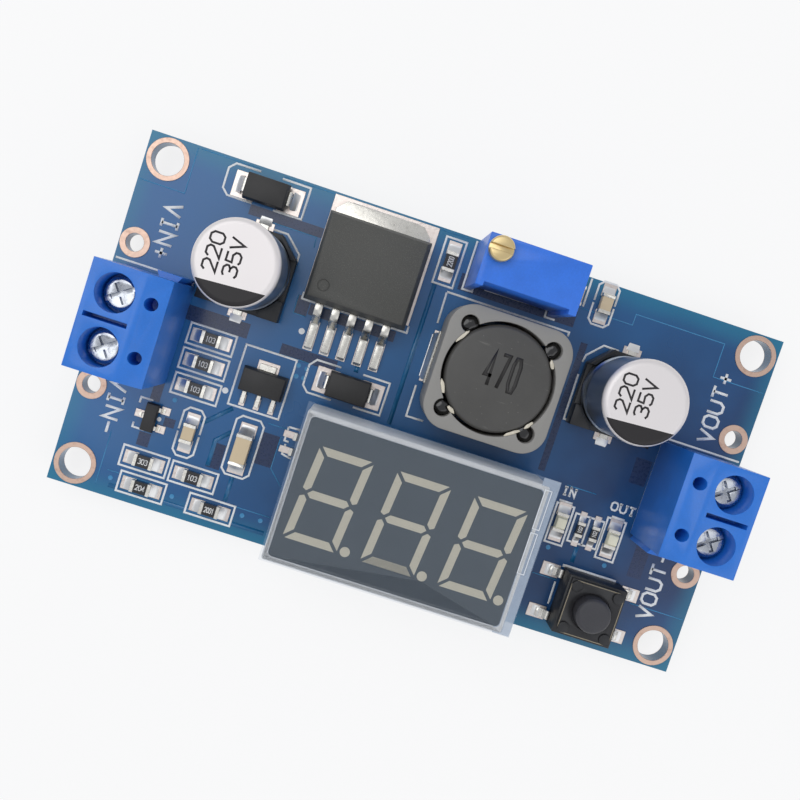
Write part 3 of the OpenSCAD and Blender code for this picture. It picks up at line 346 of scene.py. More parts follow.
@dataclass(frozen=True)
class Mask:
    """Glossy solder mask, lighter over the input end by a painted reflection, and greener at the edges.

    Attributes:
        light: Colour at the input end, where a painted reflection lightens the mask.
        dark: Colour at the lower output end, away from the painted reflection.
        rim: Colour along the board's edges.
        inner: Half length and half width inside which the rim colour fades out.
    """

    light: Colour
    dark: Colour
    rim: Colour
    inner: Point = (31.4, 15.9)

    def dress(self, shader: Shader) -> None:
        """Writes this finish into a shader."""
        x, y, _ = shader.axes()
        # painted reflection: the mask grows lighter towards the input end's upper corner
        painted_sheen_slope = shader.between(y * 0.95 - x * 0.75, -22, 16)
        cloud = shader.noise(0.12, 3)
        weave = shader.noise(3.2, 2, (1, 6, 1)) * 0.5 + shader.noise(3.2, 2, (6, 1, 1)) * 0.5
        body = shader.mix(painted_sheen_slope, self.dark, self.light)
        body = shader.mix(shader.between(cloud, 0.35, 0.75) * 0.35, body, scaled(self.light, 1.15))
        reach = shader.node("ShaderNodeMath", {"operation": "ABSOLUTE"}, {0: y})
        ends = shader.node("ShaderNodeMath", {"operation": "ABSOLUTE"}, {0: x})
        rim = shader.between(reach + cloud * 1.4, self.inner[1], self.inner[1] + 2.6)
        end_rim = shader.between(ends + cloud * 1.4, self.inner[0], self.inner[0] + 2.4) * 0.55
        body = shader.mix(rim * 0.7, body, self.rim)
        shader.set(
            Base_Color=shader.mix(end_rim, body, self.rim), Roughness=0.24 + cloud * 0.1,
            Coat_Weight=0.3, Coat_Roughness=0.1, Specular_IOR_Level=0.45)
        shader.bump(weave, 0.006)


@dataclass(frozen=True)
class Ferrite:
    """Sintered ferrite with pits, pale dust and a few scratches.

    Attributes:
        tint: Main colour.
        dust: Colour of the dust.
        rough: Roughness.
    """

    tint: Colour
    dust: Colour
    rough: float = 0.55

    def dress(self, shader: Shader) -> None:
        """Writes this finish into a shader."""
        fine = shader.noise(9, 5, rough=0.7)
        broad = shader.noise(0.5, 3)
        scratch = shader.between(shader.noise(1.1, 4, (0.35, 3.2, 1)), 0.66, 0.72)
        specks = shader.between(shader.cells(1.7), 0.075, 0.03)
        tone = shader.mix(broad, scaled(self.tint, 0.85), scaled(self.tint, 1.18))
        tone = shader.mix(fine * 0.35, tone, scaled(self.tint, 0.7))
        shader.set(
            Base_Color=shader.mix(scratch * 0.14 + specks * 0.45, tone, self.dust),
            Roughness=self.rough - fine * 0.15)
        shader.bump(fine + scratch * 0.5, 0.012)


@dataclass(frozen=True)
class CanMetal:
    """Drawn aluminium: a near-white satin top and a mirror-like grey-blue wall; the lighter top and darker wall are
    painted light and shade.

    Attributes:
        tint: Colour of the top, painted lighter than the wall.
        wall: Colour of the wall, painted darker grey-blue as side shading.
        shoulder: Height above which the top's finish shows, in millimetres.
        centre: Place of the can's axis.
        ink: Colour of the segment that marks the negative side.
        chord: Distance of the segment's edge from the axis.
        rim: Radius that the segment reaches to.
    """

    tint: Colour
    wall: Colour
    shoulder: float
    centre: Point
    ink: Colour = (0.012, 0.01, 0.011)
    chord: float = 2.1
    rim: float = 3.82

    def dress(self, shader: Shader) -> None:
        """Writes this finish into a shader."""
        x, y, z = shader.axes()
        dx, dy = x - self.centre[0], y - self.centre[1]
        crown = shader.between(z, self.shoulder - 0.5, self.shoulder - 0.1)
        lathe = shader.noise(1.4, 3, (0.2, 0.2, 9))
        inside = (dx * dx + dy * dy) < self.rim ** 2
        segment = ((dx * 0.06 - dy) > self.chord) * inside * crown
        top = shader.mix(segment, self.tint, self.ink)
        # painted light and shade: one metal, near-white on the top and darker grey-blue on the wall
        shader.set(
            Base_Color=shader.mix(crown, self.wall, top), Metallic=(1 - crown * 0.45) * (1 - segment),
            Roughness=0.26 + crown * 0.2 + lathe * 0.08)
        shader.bump(lathe, 0.004)


@dataclass(frozen=True)
class Clear:
    """Clear film or milky resin that lets light through.

    Attributes:
        tint: Colour of what doesn't pass.
        alpha: Share that doesn't pass.
        rough: Roughness.
    """

    tint: Colour
    alpha: float
    rough: float = 0.15

    def dress(self, shader: Shader) -> None:
        """Writes this finish into a shader."""
        haze_and_glare = shader.noise(0.8, 3)
        # the pale tint with its uneven alpha: over the display's black face a painted reflection
        shader.set(Base_Color=self.tint, Roughness=self.rough, Alpha=self.alpha * 0.8 + haze_and_glare * self.alpha * 0.4)
        film_ripple = shader.noise(4, 2)
        shader.bump(film_ripple, 0.002)


class Finish(Enum):
    """The finishes that pieces and nodes choose from."""

    # the mask's gradient from light to dark colour is a painted reflection
    MASK = Mask(shade(24, 96, 152), shade(6, 52, 98), shade(20, 120, 152))
    BARE_LAMINATE = Moulded(shade(10, 42, 84), 0.28, 4, 0.002, 0.12, 0.3)
    # pale mask: painted highlights on the mask's ridges along the pours' edges, and the masked via rings
    PALE_MASK_AND_HIGHLIGHT = Printed(shade(62, 138, 186), 0.3, 0.15)
    TRACE = Moulded(shade(30, 102, 150), 0.25, 4, 0.002, 0.1, 0.3)
    EDGE_MARK = Printed(shade(232, 236, 240), 0.4, 0.1)
    LEGEND = Printed(shade(238, 240, 240), 0.45, 0.05)
    RING = Tinned(shade(214, 184, 166), 0.42, shade(150, 105, 85), 0.4, 0.006)
    LAND = Tinned(shade(222, 212, 205), 0.32, shade(170, 140, 125), 0.4, 0.01, 3)
    SOLDER = Tinned(shade(232, 230, 226), 0.2, shade(130, 128, 125), 0.5, 0.05, 3)
    TIN_PLATE = Tinned(shade(226, 223, 214), 0.28, shade(140, 135, 125), 0.35, 0.012, 2.5)
    TERMINAL_BLUE = Moulded(shade(36, 118, 214), 0.36, 6, 0.004, 0.07, 0.15)
    SCREW = Tinned(shade(196, 200, 206), 0.26, shade(70, 72, 76), 0.6, 0.03, 1.6)
    CAGE = Tinned(shade(190, 184, 170), 0.35, shade(95, 90, 80), 0.4, 0.01)
    # the cans' near-white tops and darker grey-blue walls are painted light and shade
    INPUT_CAN = CanMetal(shade(236, 231, 229), shade(176, 186, 198), 11.6, (-19.9, 8.0))
    OUTPUT_CAN = CanMetal(shade(236, 231, 229), shade(176, 186, 198), 11.6, (18.7, 7.6))
    CAN_INK = Printed(shade(32, 27, 29), 0.35, 0.15)
    BASE_BLACK = Moulded(shade(30, 31, 33), 0.42, 7, 0.006, 0.2)
    COMPOUND = Speckled(shade(80, 80, 76), shade(150, 148, 138))
    DIODE_BLACK = Moulded(shade(40, 39, 38), 0.5, 9, 0.006, 0.25)
    FERRITE = Ferrite(shade(88, 84, 79), shade(190, 182, 165))
    DRUM = Ferrite(shade(76, 75, 72), shade(170, 168, 158), 0.5)
    GLUE = Moulded(shade(16, 15, 14), 0.12, 2, 0.01, 0.2, 0.6)
    # whitish glue beads, their pale colour partly a painted glint
    GLUE_GLINT_BEAD = Moulded(shade(214, 206, 186), 0.15, 2, 0.01, 0.1, 0.5)
    DRUM_INK = Printed(shade(34, 32, 30), 0.4, 0.3)
    COPPER = Tinned(shade(196, 118, 66), 0.3, shade(120, 60, 30), 0.4, 0.01)
    TRIMMER_BLUE = Moulded(shade(48, 118, 226), 0.38, 6, 0.005, 0.08, 0.1)
    BRASS = Tinned(shade(204, 162, 84), 0.3, shade(110, 78, 36), 0.6, 0.02, 2)
    DISPLAY_SHELL = Moulded(shade(214, 214, 212), 0.35, 5, 0.003, 0.06, 0.1)
    DISPLAY_BLACK = Moulded(shade(22, 24, 28), 0.3, 3, 0.002, 0.2, 0.1)
    SEGMENT = Moulded(shade(198, 191, 170), 0.4, 4, 0.002, 0.03)
    # painted reflection: a pale, uneven glare over the display's black face
    FILM = Clear(shade(178, 196, 216), 0.1)
    FILM_EDGE = Clear(shade(196, 208, 222), 0.55)
    SWITCH_BLACK = Moulded(shade(33, 34, 36), 0.45, 6, 0.006, 0.2)
    SWITCH_COVER = Moulded(shade(36, 36, 38), 0.38, 5, 0.004, 0.15)
    BUTTON = Moulded(shade(58, 58, 62), 0.5, 8, 0.01, 0.12)
    COVER_SEAM = Printed(shade(150, 140, 118), 0.35, 0.2)
    DOME = Tinned(shade(200, 190, 150), 0.25)
    RESISTOR_BLACK = Moulded(shade(28, 26, 27), 0.3, 8, 0.003, 0.2, 0.3)
    RESISTOR_INK = Printed(shade(225, 225, 222), 0.4, 0.1)
    CERAMIC_TAN = Moulded(shade(190, 152, 96), 0.35, 6, 0.005, 0.08, 0.2)
    CERAMIC_BROWN = Moulded(shade(132, 98, 70), 0.35, 6, 0.005, 0.08, 0.2)
    LED = Moulded(shade(238, 234, 208), 0.25, 5, 0.004, 0.05, 0.4)

    def material(self) -> bpy.types.Material:
        """Returns this finish's material, made the first time it is asked for."""
        name = self.name.lower()
        if name not in bpy.data.materials:
            shader = Shader(name)
            self.value.dress(shader)
        return bpy.data.materials[name]


# ---------------------------------------------------------------- modelling


class Bench:
    """Modelling by operators; sizes and places are in millimetres."""

    @staticmethod
    def clear() -> None:
        """Deselects everything."""
        bpy.ops.object.select_all(action="DESELECT")

    @classmethod
    def pick(cls, *things: bpy.types.Object) -> bpy.types.Object:
        """Selects only these objects and makes the first one active."""
        cls.clear()
        for thing in things:
            thing.select_set(True)
        bpy.context.view_layer.objects.active = things[0]
        return things[0]

    @classmethod
    def settle(cls, thing: bpy.types.Object, name: str) -> bpy.types.Object:
        """Names an object and moves its place, turn and scale into its mesh."""
        cls.pick(thing)
        bpy.ops.object.transform_apply(location=True, rotation=True, scale=True)
        thing.name = name
        thing.data.name = name
        return thing

    @classmethod
    def block(cls, name: str, size: Spot, place: Spot, turn: float = 0.0) -> bpy.types.Object:
        """Adds a box that stands on its place.

        Args:
            name: The object's name.
            size: Length, width and height.
            place: Centre of the underside.
            turn: Turn about Z in degrees.

        Returns:
            The box, as a start for a piece.
        """
        cls.clear()
        centre = Vector((place[0], place[1], place[2] + size[2] / 2)) * MM
        bpy.ops.mesh.primitive_cube_add(size=1, location=centre, rotation=(0, 0, math.radians(turn)))
        thing = bpy.context.object
        thing.scale = Vector(size) * MM
        return cls.settle(thing, name)

    @classmethod
    def disc(cls, name: str, radius: float, height: float, place: Spot, sides: int = 40) -> bpy.types.Object:
        """Adds a cylinder that stands on its place."""
        cls.clear()
        centre = Vector((place[0], place[1], place[2] + height / 2)) * MM
        bpy.ops.mesh.primitive_cylinder_add(vertices=sides, radius=radius * MM, depth=height * MM, location=centre)
        return cls.settle(bpy.context.object, name)

    @classmethod
    def edit(cls, thing: bpy.types.Object, mode: str, chosen: Callable[[bmesh.types.BMVert], bool],
             *steps: Callable[[], object]) -> None:
        """Selects parts of a mesh and runs operators on them in edit mode.

        Args:
            thing: The object.
            mode: VERT, EDGE or FACE.
            chosen: Says which vertices are chosen; an edge or face needs all of its own.
            *steps: Operators, called in order.
        """
        cls.pick(thing)
        bpy.ops.object.mode_set(mode="EDIT")
        bpy.ops.mesh.select_mode(type="VERT")
        mesh = bmesh.from_edit_mesh(thing.data)
        for vert in mesh.verts:
            vert.select = chosen(vert)
        mesh.select_flush_mode()
        bmesh.update_edit_mesh(thing.data)
        bpy.ops.mesh.select_mode(type=mode)
        for step in steps:
            step()
        bpy.ops.object.mode_set(mode="OBJECT")

    @classmethod
    def soften(cls, thing: bpy.types.Object, width: float, segments: int = 2, angle: float = 35) -> bpy.types.Object:
        """Rounds the sharp edges of an object and shades it smooth.

        Args:
            thing: The object.
            width: Width of the rounding.
            segments: Faces across the rounding.
            angle: Edges sharper than this many degrees are rounded.

        Returns:
            The same object.
        """
        cls.pick(thing)
        bevel = thing.modifiers.new("rounding", "BEVEL")
        bevel.width = width * MM
        bevel.segments = segments
        bevel.limit_method = "ANGLE"
        bevel.angle_limit = math.radians(angle)
        bevel.use_clamp_overlap = True
        bevel.harden_normals = False
        bpy.ops.object.modifier_apply(modifier=bevel.name)
        bpy.ops.object.shade_smooth_by_angle(angle=math.radians(40))
        return thing

    @classmethod
    def join(cls, name: str, things: Sequence[bpy.types.Object]) -> bpy.types.Object:
        """Joins objects into one."""
        whole = cls.pick(*things)
        if len(things) > 1:
            bpy.ops.object.join()
        whole.name = name
        whole.data.name = name
        return whole

    @classmethod
    def repeat(cls, thing: bpy.types.Object, name: str, moves: Iterable[Matrix]) -> bpy.types.Object:
        """Copies a piece to several places and joins the copies.

        Args:
            thing: The piece, modelled at the origin; it is removed.
            name: Name of the result.
            moves: Where each copy goes, in metres.

        Returns:
            The joined copies.
        """
        copies = []
        for move in moves:
            copy = thing.copy()
            copy.data = thing.data.copy()
            copy.data.transform(move)
            bpy.context.collection.objects.link(copy)
            copies.append(copy)
        bpy.data.objects.remove(thing)
        return cls.join(name, copies)

    @classmethod
    def ribbons(cls, name: str, paths: Sequence[Sequence[Point]], width: float, z: float,
                thick: float = 0.012) -> bpy.types.Object:
        """Lays flat strips of one width along paths; a path that ends where it starts is closed.

        Args:
            name: The object's name.
            paths: Points of each path, in order.
            width: Width of the strips.
            z: Height of their undersides.
            thick: Their thickness.

        Returns:
            All the strips as one piece.
        """
        cls.clear()
        curve = bpy.data.curves.new(name, "CURVE")
        curve.dimensions = "3D"
        curve.twist_mode = "Z_UP"
        curve.extrude = width / 2 * MM
        for path in paths:
            closed = len(path) > 2 and math.dist(path[0], path[-1]) < 1e-6
            corners = list(path[:-1] if closed else path)
            spline = curve.splines.new("POLY")
            spline.points.add(len(corners) - 1)
            spline.use_cyclic_u = closed
            for index, (point, (x, y)) in enumerate(zip(spline.points, corners)):
                point.co = (x * MM, y * MM, z * MM, 1)
                point.tilt = math.pi / 2
                if closed or 0 < index < len(corners) - 1:
                    point.radius = cls.mitre(corners[index - 1], (x, y), corners[(index + 1) % len(corners)])
        thing = bpy.data.objects.new(name, curve)
        bpy.context.collection.objects.link(thing)
        cls.pick(thing)
        bpy.ops.object.convert(target="MESH")
        thing = bpy.context.object
        cls.face_up(thing)
        return cls.thicken(cls.settle(thing, name), thick)

    @staticmethod
    def mitre(before: Point, corner: Point, after: Point) -> float:
        """Returns how much wider a strip is across a corner than along its run."""
        into = math.atan2(corner[1] - before[1], corner[0] - before[0])
        out = math.atan2(after[1] - corner[1], after[0] - corner[0])
        half = abs((out - into + math.pi) % (2 * math.pi) - math.pi) / 2
        return 1 / max(math.cos(half), 0.35)

    @classmethod
    def face_up(cls, thing: bpy.types.Object) -> None:
        """Turns every face of a flat piece so that it looks up."""
        mesh = bmesh.new()
        mesh.from_mesh(thing.data)
        bmesh.ops.reverse_faces(mesh, faces=[face for face in mesh.faces if face.normal.z < 0])
        mesh.to_mesh(thing.data)
        mesh.free()

    @classmethod
    def thicken(cls, thing: bpy.types.Object, thick: float) -> bpy.types.Object:
        """Gives a flat piece that looks up a thickness, upwards."""
        cls.pick(thing)
        wall = thing.modifiers.new("thickness", "SOLIDIFY")
        wall.thickness = thick * MM
        wall.offset = 1
        bpy.ops.object.modifier_apply(modifier=wall.name)
        return thing

    @classmethod
    def words(cls, name: str, text: str, centre: Spot, size: Point, turn: float = 0.0,
              thick: float = 0.012) -> bpy.types.Object:
        """Writes a word that fills a given length and height.

        Args:
            name: The object's name.
            text: The word.
            centre: Centre of its underside.
            size: Its length and height.
            turn: Turn about Z in degrees.
            thick: Its thickness.

        Returns:
            The word as a mesh.
        """
        cls.clear()
        bpy.ops.object.text_add()
        thing = bpy.context.object
        thing.data.body = text
        thing.data.resolution_u = 3
        bpy.ops.object.convert(target="MESH")
        thing = bpy.context.object
        corners = [Vector(corner) for corner in thing.bound_box]
        low = Vector(tuple(min(corner[axis] for corner in corners) for axis in range(3)))
        high = Vector(tuple(max(corner[axis] for corner in corners) for axis in range(3)))
        middle = (low + high) / 2
        stretch = Vector((size[0] * MM / (high.x - low.x), size[1] * MM / (high.y - low.y), 1))
        move = (Matrix.Translation(Vector(centre) * MM) @ Matrix.Rotation(math.radians(turn), 4, "Z")
                @ Matrix.Diagonal((*stretch, 1)) @ Matrix.Translation((-middle.x, -middle.y, 0)))
        thing.data.transform(move)
        cls.face_up(thing)
        return cls.thicken(cls.settle(thing, name), thick)

    @classmethod
    def plate(cls, name: str, outline: Sequence[Point], z: float, thick: float) -> bpy.types.Object:
        """Makes a flat plate from an outline, as one filled face raised to its thickness."""
        cls.clear()
        mesh = bpy.data.meshes.new(name)
        mesh.from_pydata([(x * MM, y * MM, z * MM) for x, y in outline], [], [tuple(range(len(outline)))])
        thing = bpy.data.objects.new(name, mesh)
        bpy.context.collection.objects.link(thing)
        cls.pick(thing)
        cls.face_up(thing)
        return cls.thicken(thing, thick)

    @classmethod
    def node_copy(cls, node: str, name: str) -> bpy.types.Object:
        """Copies a solid of the frame, with its loose triangles merged into clean faces."""
        cls.clear()
        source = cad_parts[node]
        thing = bpy.data.objects.new(name, source.data.copy())
        bpy.context.collection.objects.link(thing)
        cls.pick(thing)
        bpy.ops.object.mode_set(mode="EDIT")
        bpy.ops.mesh.select_all(action="SELECT")
        bpy.ops.mesh.remove_doubles(threshold=1e-6)
        bpy.ops.mesh.dissolve_limited(angle_limit=math.radians(1))
        bpy.ops.object.mode_set(mode="OBJECT")
        return thing


def paint(thing: bpy.types.Object, finish: Finish) -> None:
    """Gives an object one finish all over."""
    thing.data.materials.clear()
    thing.data.materials.append(finish.material())
    for face in thing.data.polygons:
        face.material_index = 0


def finished(thing: bpy.types.Object, finish: Finish, body: str = MODULE,
             nodes: Sequence[str] = ()) -> bpy.types.Object:
    """Paints a new piece and ties it to the frame.

    Args:
        thing: The piece.
        finish: Its finish.
        body: The body that it moves with.
        nodes: Solids that it stands for.

    Returns:
        The piece.
    """
    paint(thing, finish)
    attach(thing, body)
    if nodes:
        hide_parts(*nodes)
    log.info("%s: %d faces on %s", thing.name, len(thing.data.polygons), body)
    return thing


def dressed(node: str, finish: Finish, width: float = 0.0, body: str = MODULE, segments: int = 2,
            angle: float = 35) -> bpy.types.Object:
    """Finishes a solid of the frame, and rounds its edges where a width is given.

    Args:
        node: The solid's name.
        finish: Its finish.
        width: Width of the rounding in millimetres; 0 keeps the solid as it is.
        body: The body that it moves with.
        segments: Faces across the rounding.
        angle: Edges sharper than this many degrees are rounded.

    Returns:
        The solid, or the rounded piece that stands for it.
    """
    if not width:
        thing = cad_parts[node]
        thing.data.materials.clear()
        thing.data.materials.append(finish.material())
        return thing
    thing = Bench.soften(Bench.node_copy(node, node + "_finished"), width, segments, angle)
    return finished(thing, finish, body, [node])


# ---------------------------------------------------------------- stroke lettering

ROUND = ((0.25, 0.0), (0.75, 0.0), (1.0, 0.22), (1.0, 0.78), (0.75, 1.0), (0.25, 1.0), (0.0, 0.78), (0.0, 0.22),
         (0.25, 0.0))
GLYPHS: dict[str, tuple[tuple[Point, ...], ...]] = {
    "V": (((0.0, 1.0), (0.5, 0.0), (1.0, 1.0)),),
    "I": (((0.5, 0.0), (0.5, 1.0)), ((0.15, 0.0), (0.85, 0.0)), ((0.15, 1.0), (0.85, 1.0))),
    "N": (((0.0, 0.0), (0.0, 1.0), (1.0, 0.0), (1.0, 1.0)),),
    "O": (ROUND,),
    "U": (((0.0, 1.0), (0.0, 0.25), (0.25, 0.0), (0.75, 0.0), (1.0, 0.25), (1.0, 1.0)),),
    "T": (((0.0, 1.0), (1.0, 1.0)), ((0.5, 1.0), (0.5, 0.0))),
    "+": (((0.05, 0.5), (0.95, 0.5)), ((0.5, 0.12), (0.5, 0.88))),
    "-": (((0.0, 0.5), (1.0, 0.5)),),
    "0": (ROUND,),
    "1": (((0.25, 0.78), (0.55, 1.0), (0.55, 0.0)), ((0.25, 0.0), (0.85, 0.0))),
    "2": (((0.0, 0.78), (0.22, 1.0), (0.78, 1.0), (1.0, 0.8), (0.95, 0.58), (0.0, 0.0), (1.0, 0.0)),),
    "3": (((0.0, 0.88), (0.25, 1.0), (0.75, 1.0), (1.0, 0.82), (1.0, 0.66), (0.72, 0.52), (0.4, 0.52)),
          ((0.72, 0.52), (1.0, 0.36), (1.0, 0.16), (0.75, 0.0), (0.25, 0.0), (0.0, 0.12))),
    "4": (((0.72, 0.0), (0.72, 1.0), (0.0, 0.3), (1.0, 0.3)),),
    "5": (((0.95, 1.0), (0.1, 1.0), (0.05, 0.56), (0.7, 0.6), (1.0, 0.42), (1.0, 0.18), (0.75, 0.0), (0.2, 0.0),
           (0.0, 0.12)),),
    "7": (((0.0, 1.0), (1.0, 1.0), (0.35, 0.0)),),
}


@dataclass(frozen=True)
class Label:
    """A word drawn with strokes of one width.

    Attributes:
        text: The word.
        centre: Its centre.
        length: Its length along the line.
        height: The height of its letters.
        turn: Turn about Z in degrees.
        stroke: Width of the strokes.
        gap: Gap between letters as a share of their width.
        slab: Whether the letters end in short bars.
    """

    text: str
    centre: Point
    length: float
    height: float
    turn: float = 0.0
    stroke: float = 0.2
    gap: float = 0.32
    slab: bool = False

    def paths(self) -> list[list[Point]]:
        """Returns the strokes' middle lines in the board's plane."""
        letter = (self.length - self.stroke) / (len(self.text) + self.gap * (len(self.text) - 1))
        tall = self.height - self.stroke
        angle = math.radians(self.turn)
        found = []
        for place, sign in enumerate(self.text):
            strokes = list(GLYPHS[sign])
            if self.slab and sign in "NUT":
                ends = {"N": ((0, 0), (0, 1), (1, 1)), "U": ((0, 1), (1, 1)), "T": ((0.5, 0),)}[sign]
                strokes += [((x - 0.25, y), (x + 0.25, y)) for x, y in ends]
            for stroke in strokes:
                line = []
                for x, y in stroke:
                    u = (place * (1 + self.gap) + x) * letter - (self.length - self.stroke) / 2
                    v = (y - 0.5) * tall
                    line.append((self.centre[0] + u * math.cos(angle) - v * math.sin(angle),
                                 self.centre[1] + u * math.sin(angle) + v * math.cos(angle)))
                found.append(line)
        return found


def lettering(name: str, labels: Iterable[Label], z: float, thick: float = 0.012) -> bpy.types.Object:
    """Makes all of some labels, with strokes of the first one's width, as one piece."""
    labels = list(labels)
    paths = [path for label in labels for path in label.paths()]
    return Bench.ribbons(name, paths, labels[0].stroke, z, thick)


def ring_path(centre: Point, half: Point, corner: float = 0.0) -> list[Point]:
    """Returns a rectangle's outline with cut corners, coming back to its start."""
    x, y = centre
    w, h = half
    if not corner:
        return [(x - w, y - h), (x + w, y - h), (x + w, y + h), (x - w, y + h), (x - w, y - h)]
    c = corner
    points = [(x - w + c, y - h), (x + w - c, y - h), (x + w, y - h + c), (x + w, y + h - c), (x + w - c, y + h),
              (x - w + c, y + h), (x - w, y + h - c), (x - w, y - h + c), (x - w + c, y - h)]
    return points


def turned(path: Sequence[Point], angle: float, about: Point = (0, 0)) -> list[Point]:
    """Returns a path turned about a point."""
    c, s = math.cos(math.radians(angle)), math.sin(math.radians(angle))
    return [(about[0] + (x - about[0]) * c - (y - about[1]) * s, about[1] + (x - about[0]) * s + (y - about[1]) * c)
            for x, y in path]


def span(node: str) -> tuple[Vector, Vector]:
    """Returns a solid's lowest and highest corners in millimetres."""
    low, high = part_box(node)
    return low / MM, high / MM


# ---------------------------------------------------------------- sub-assemblies


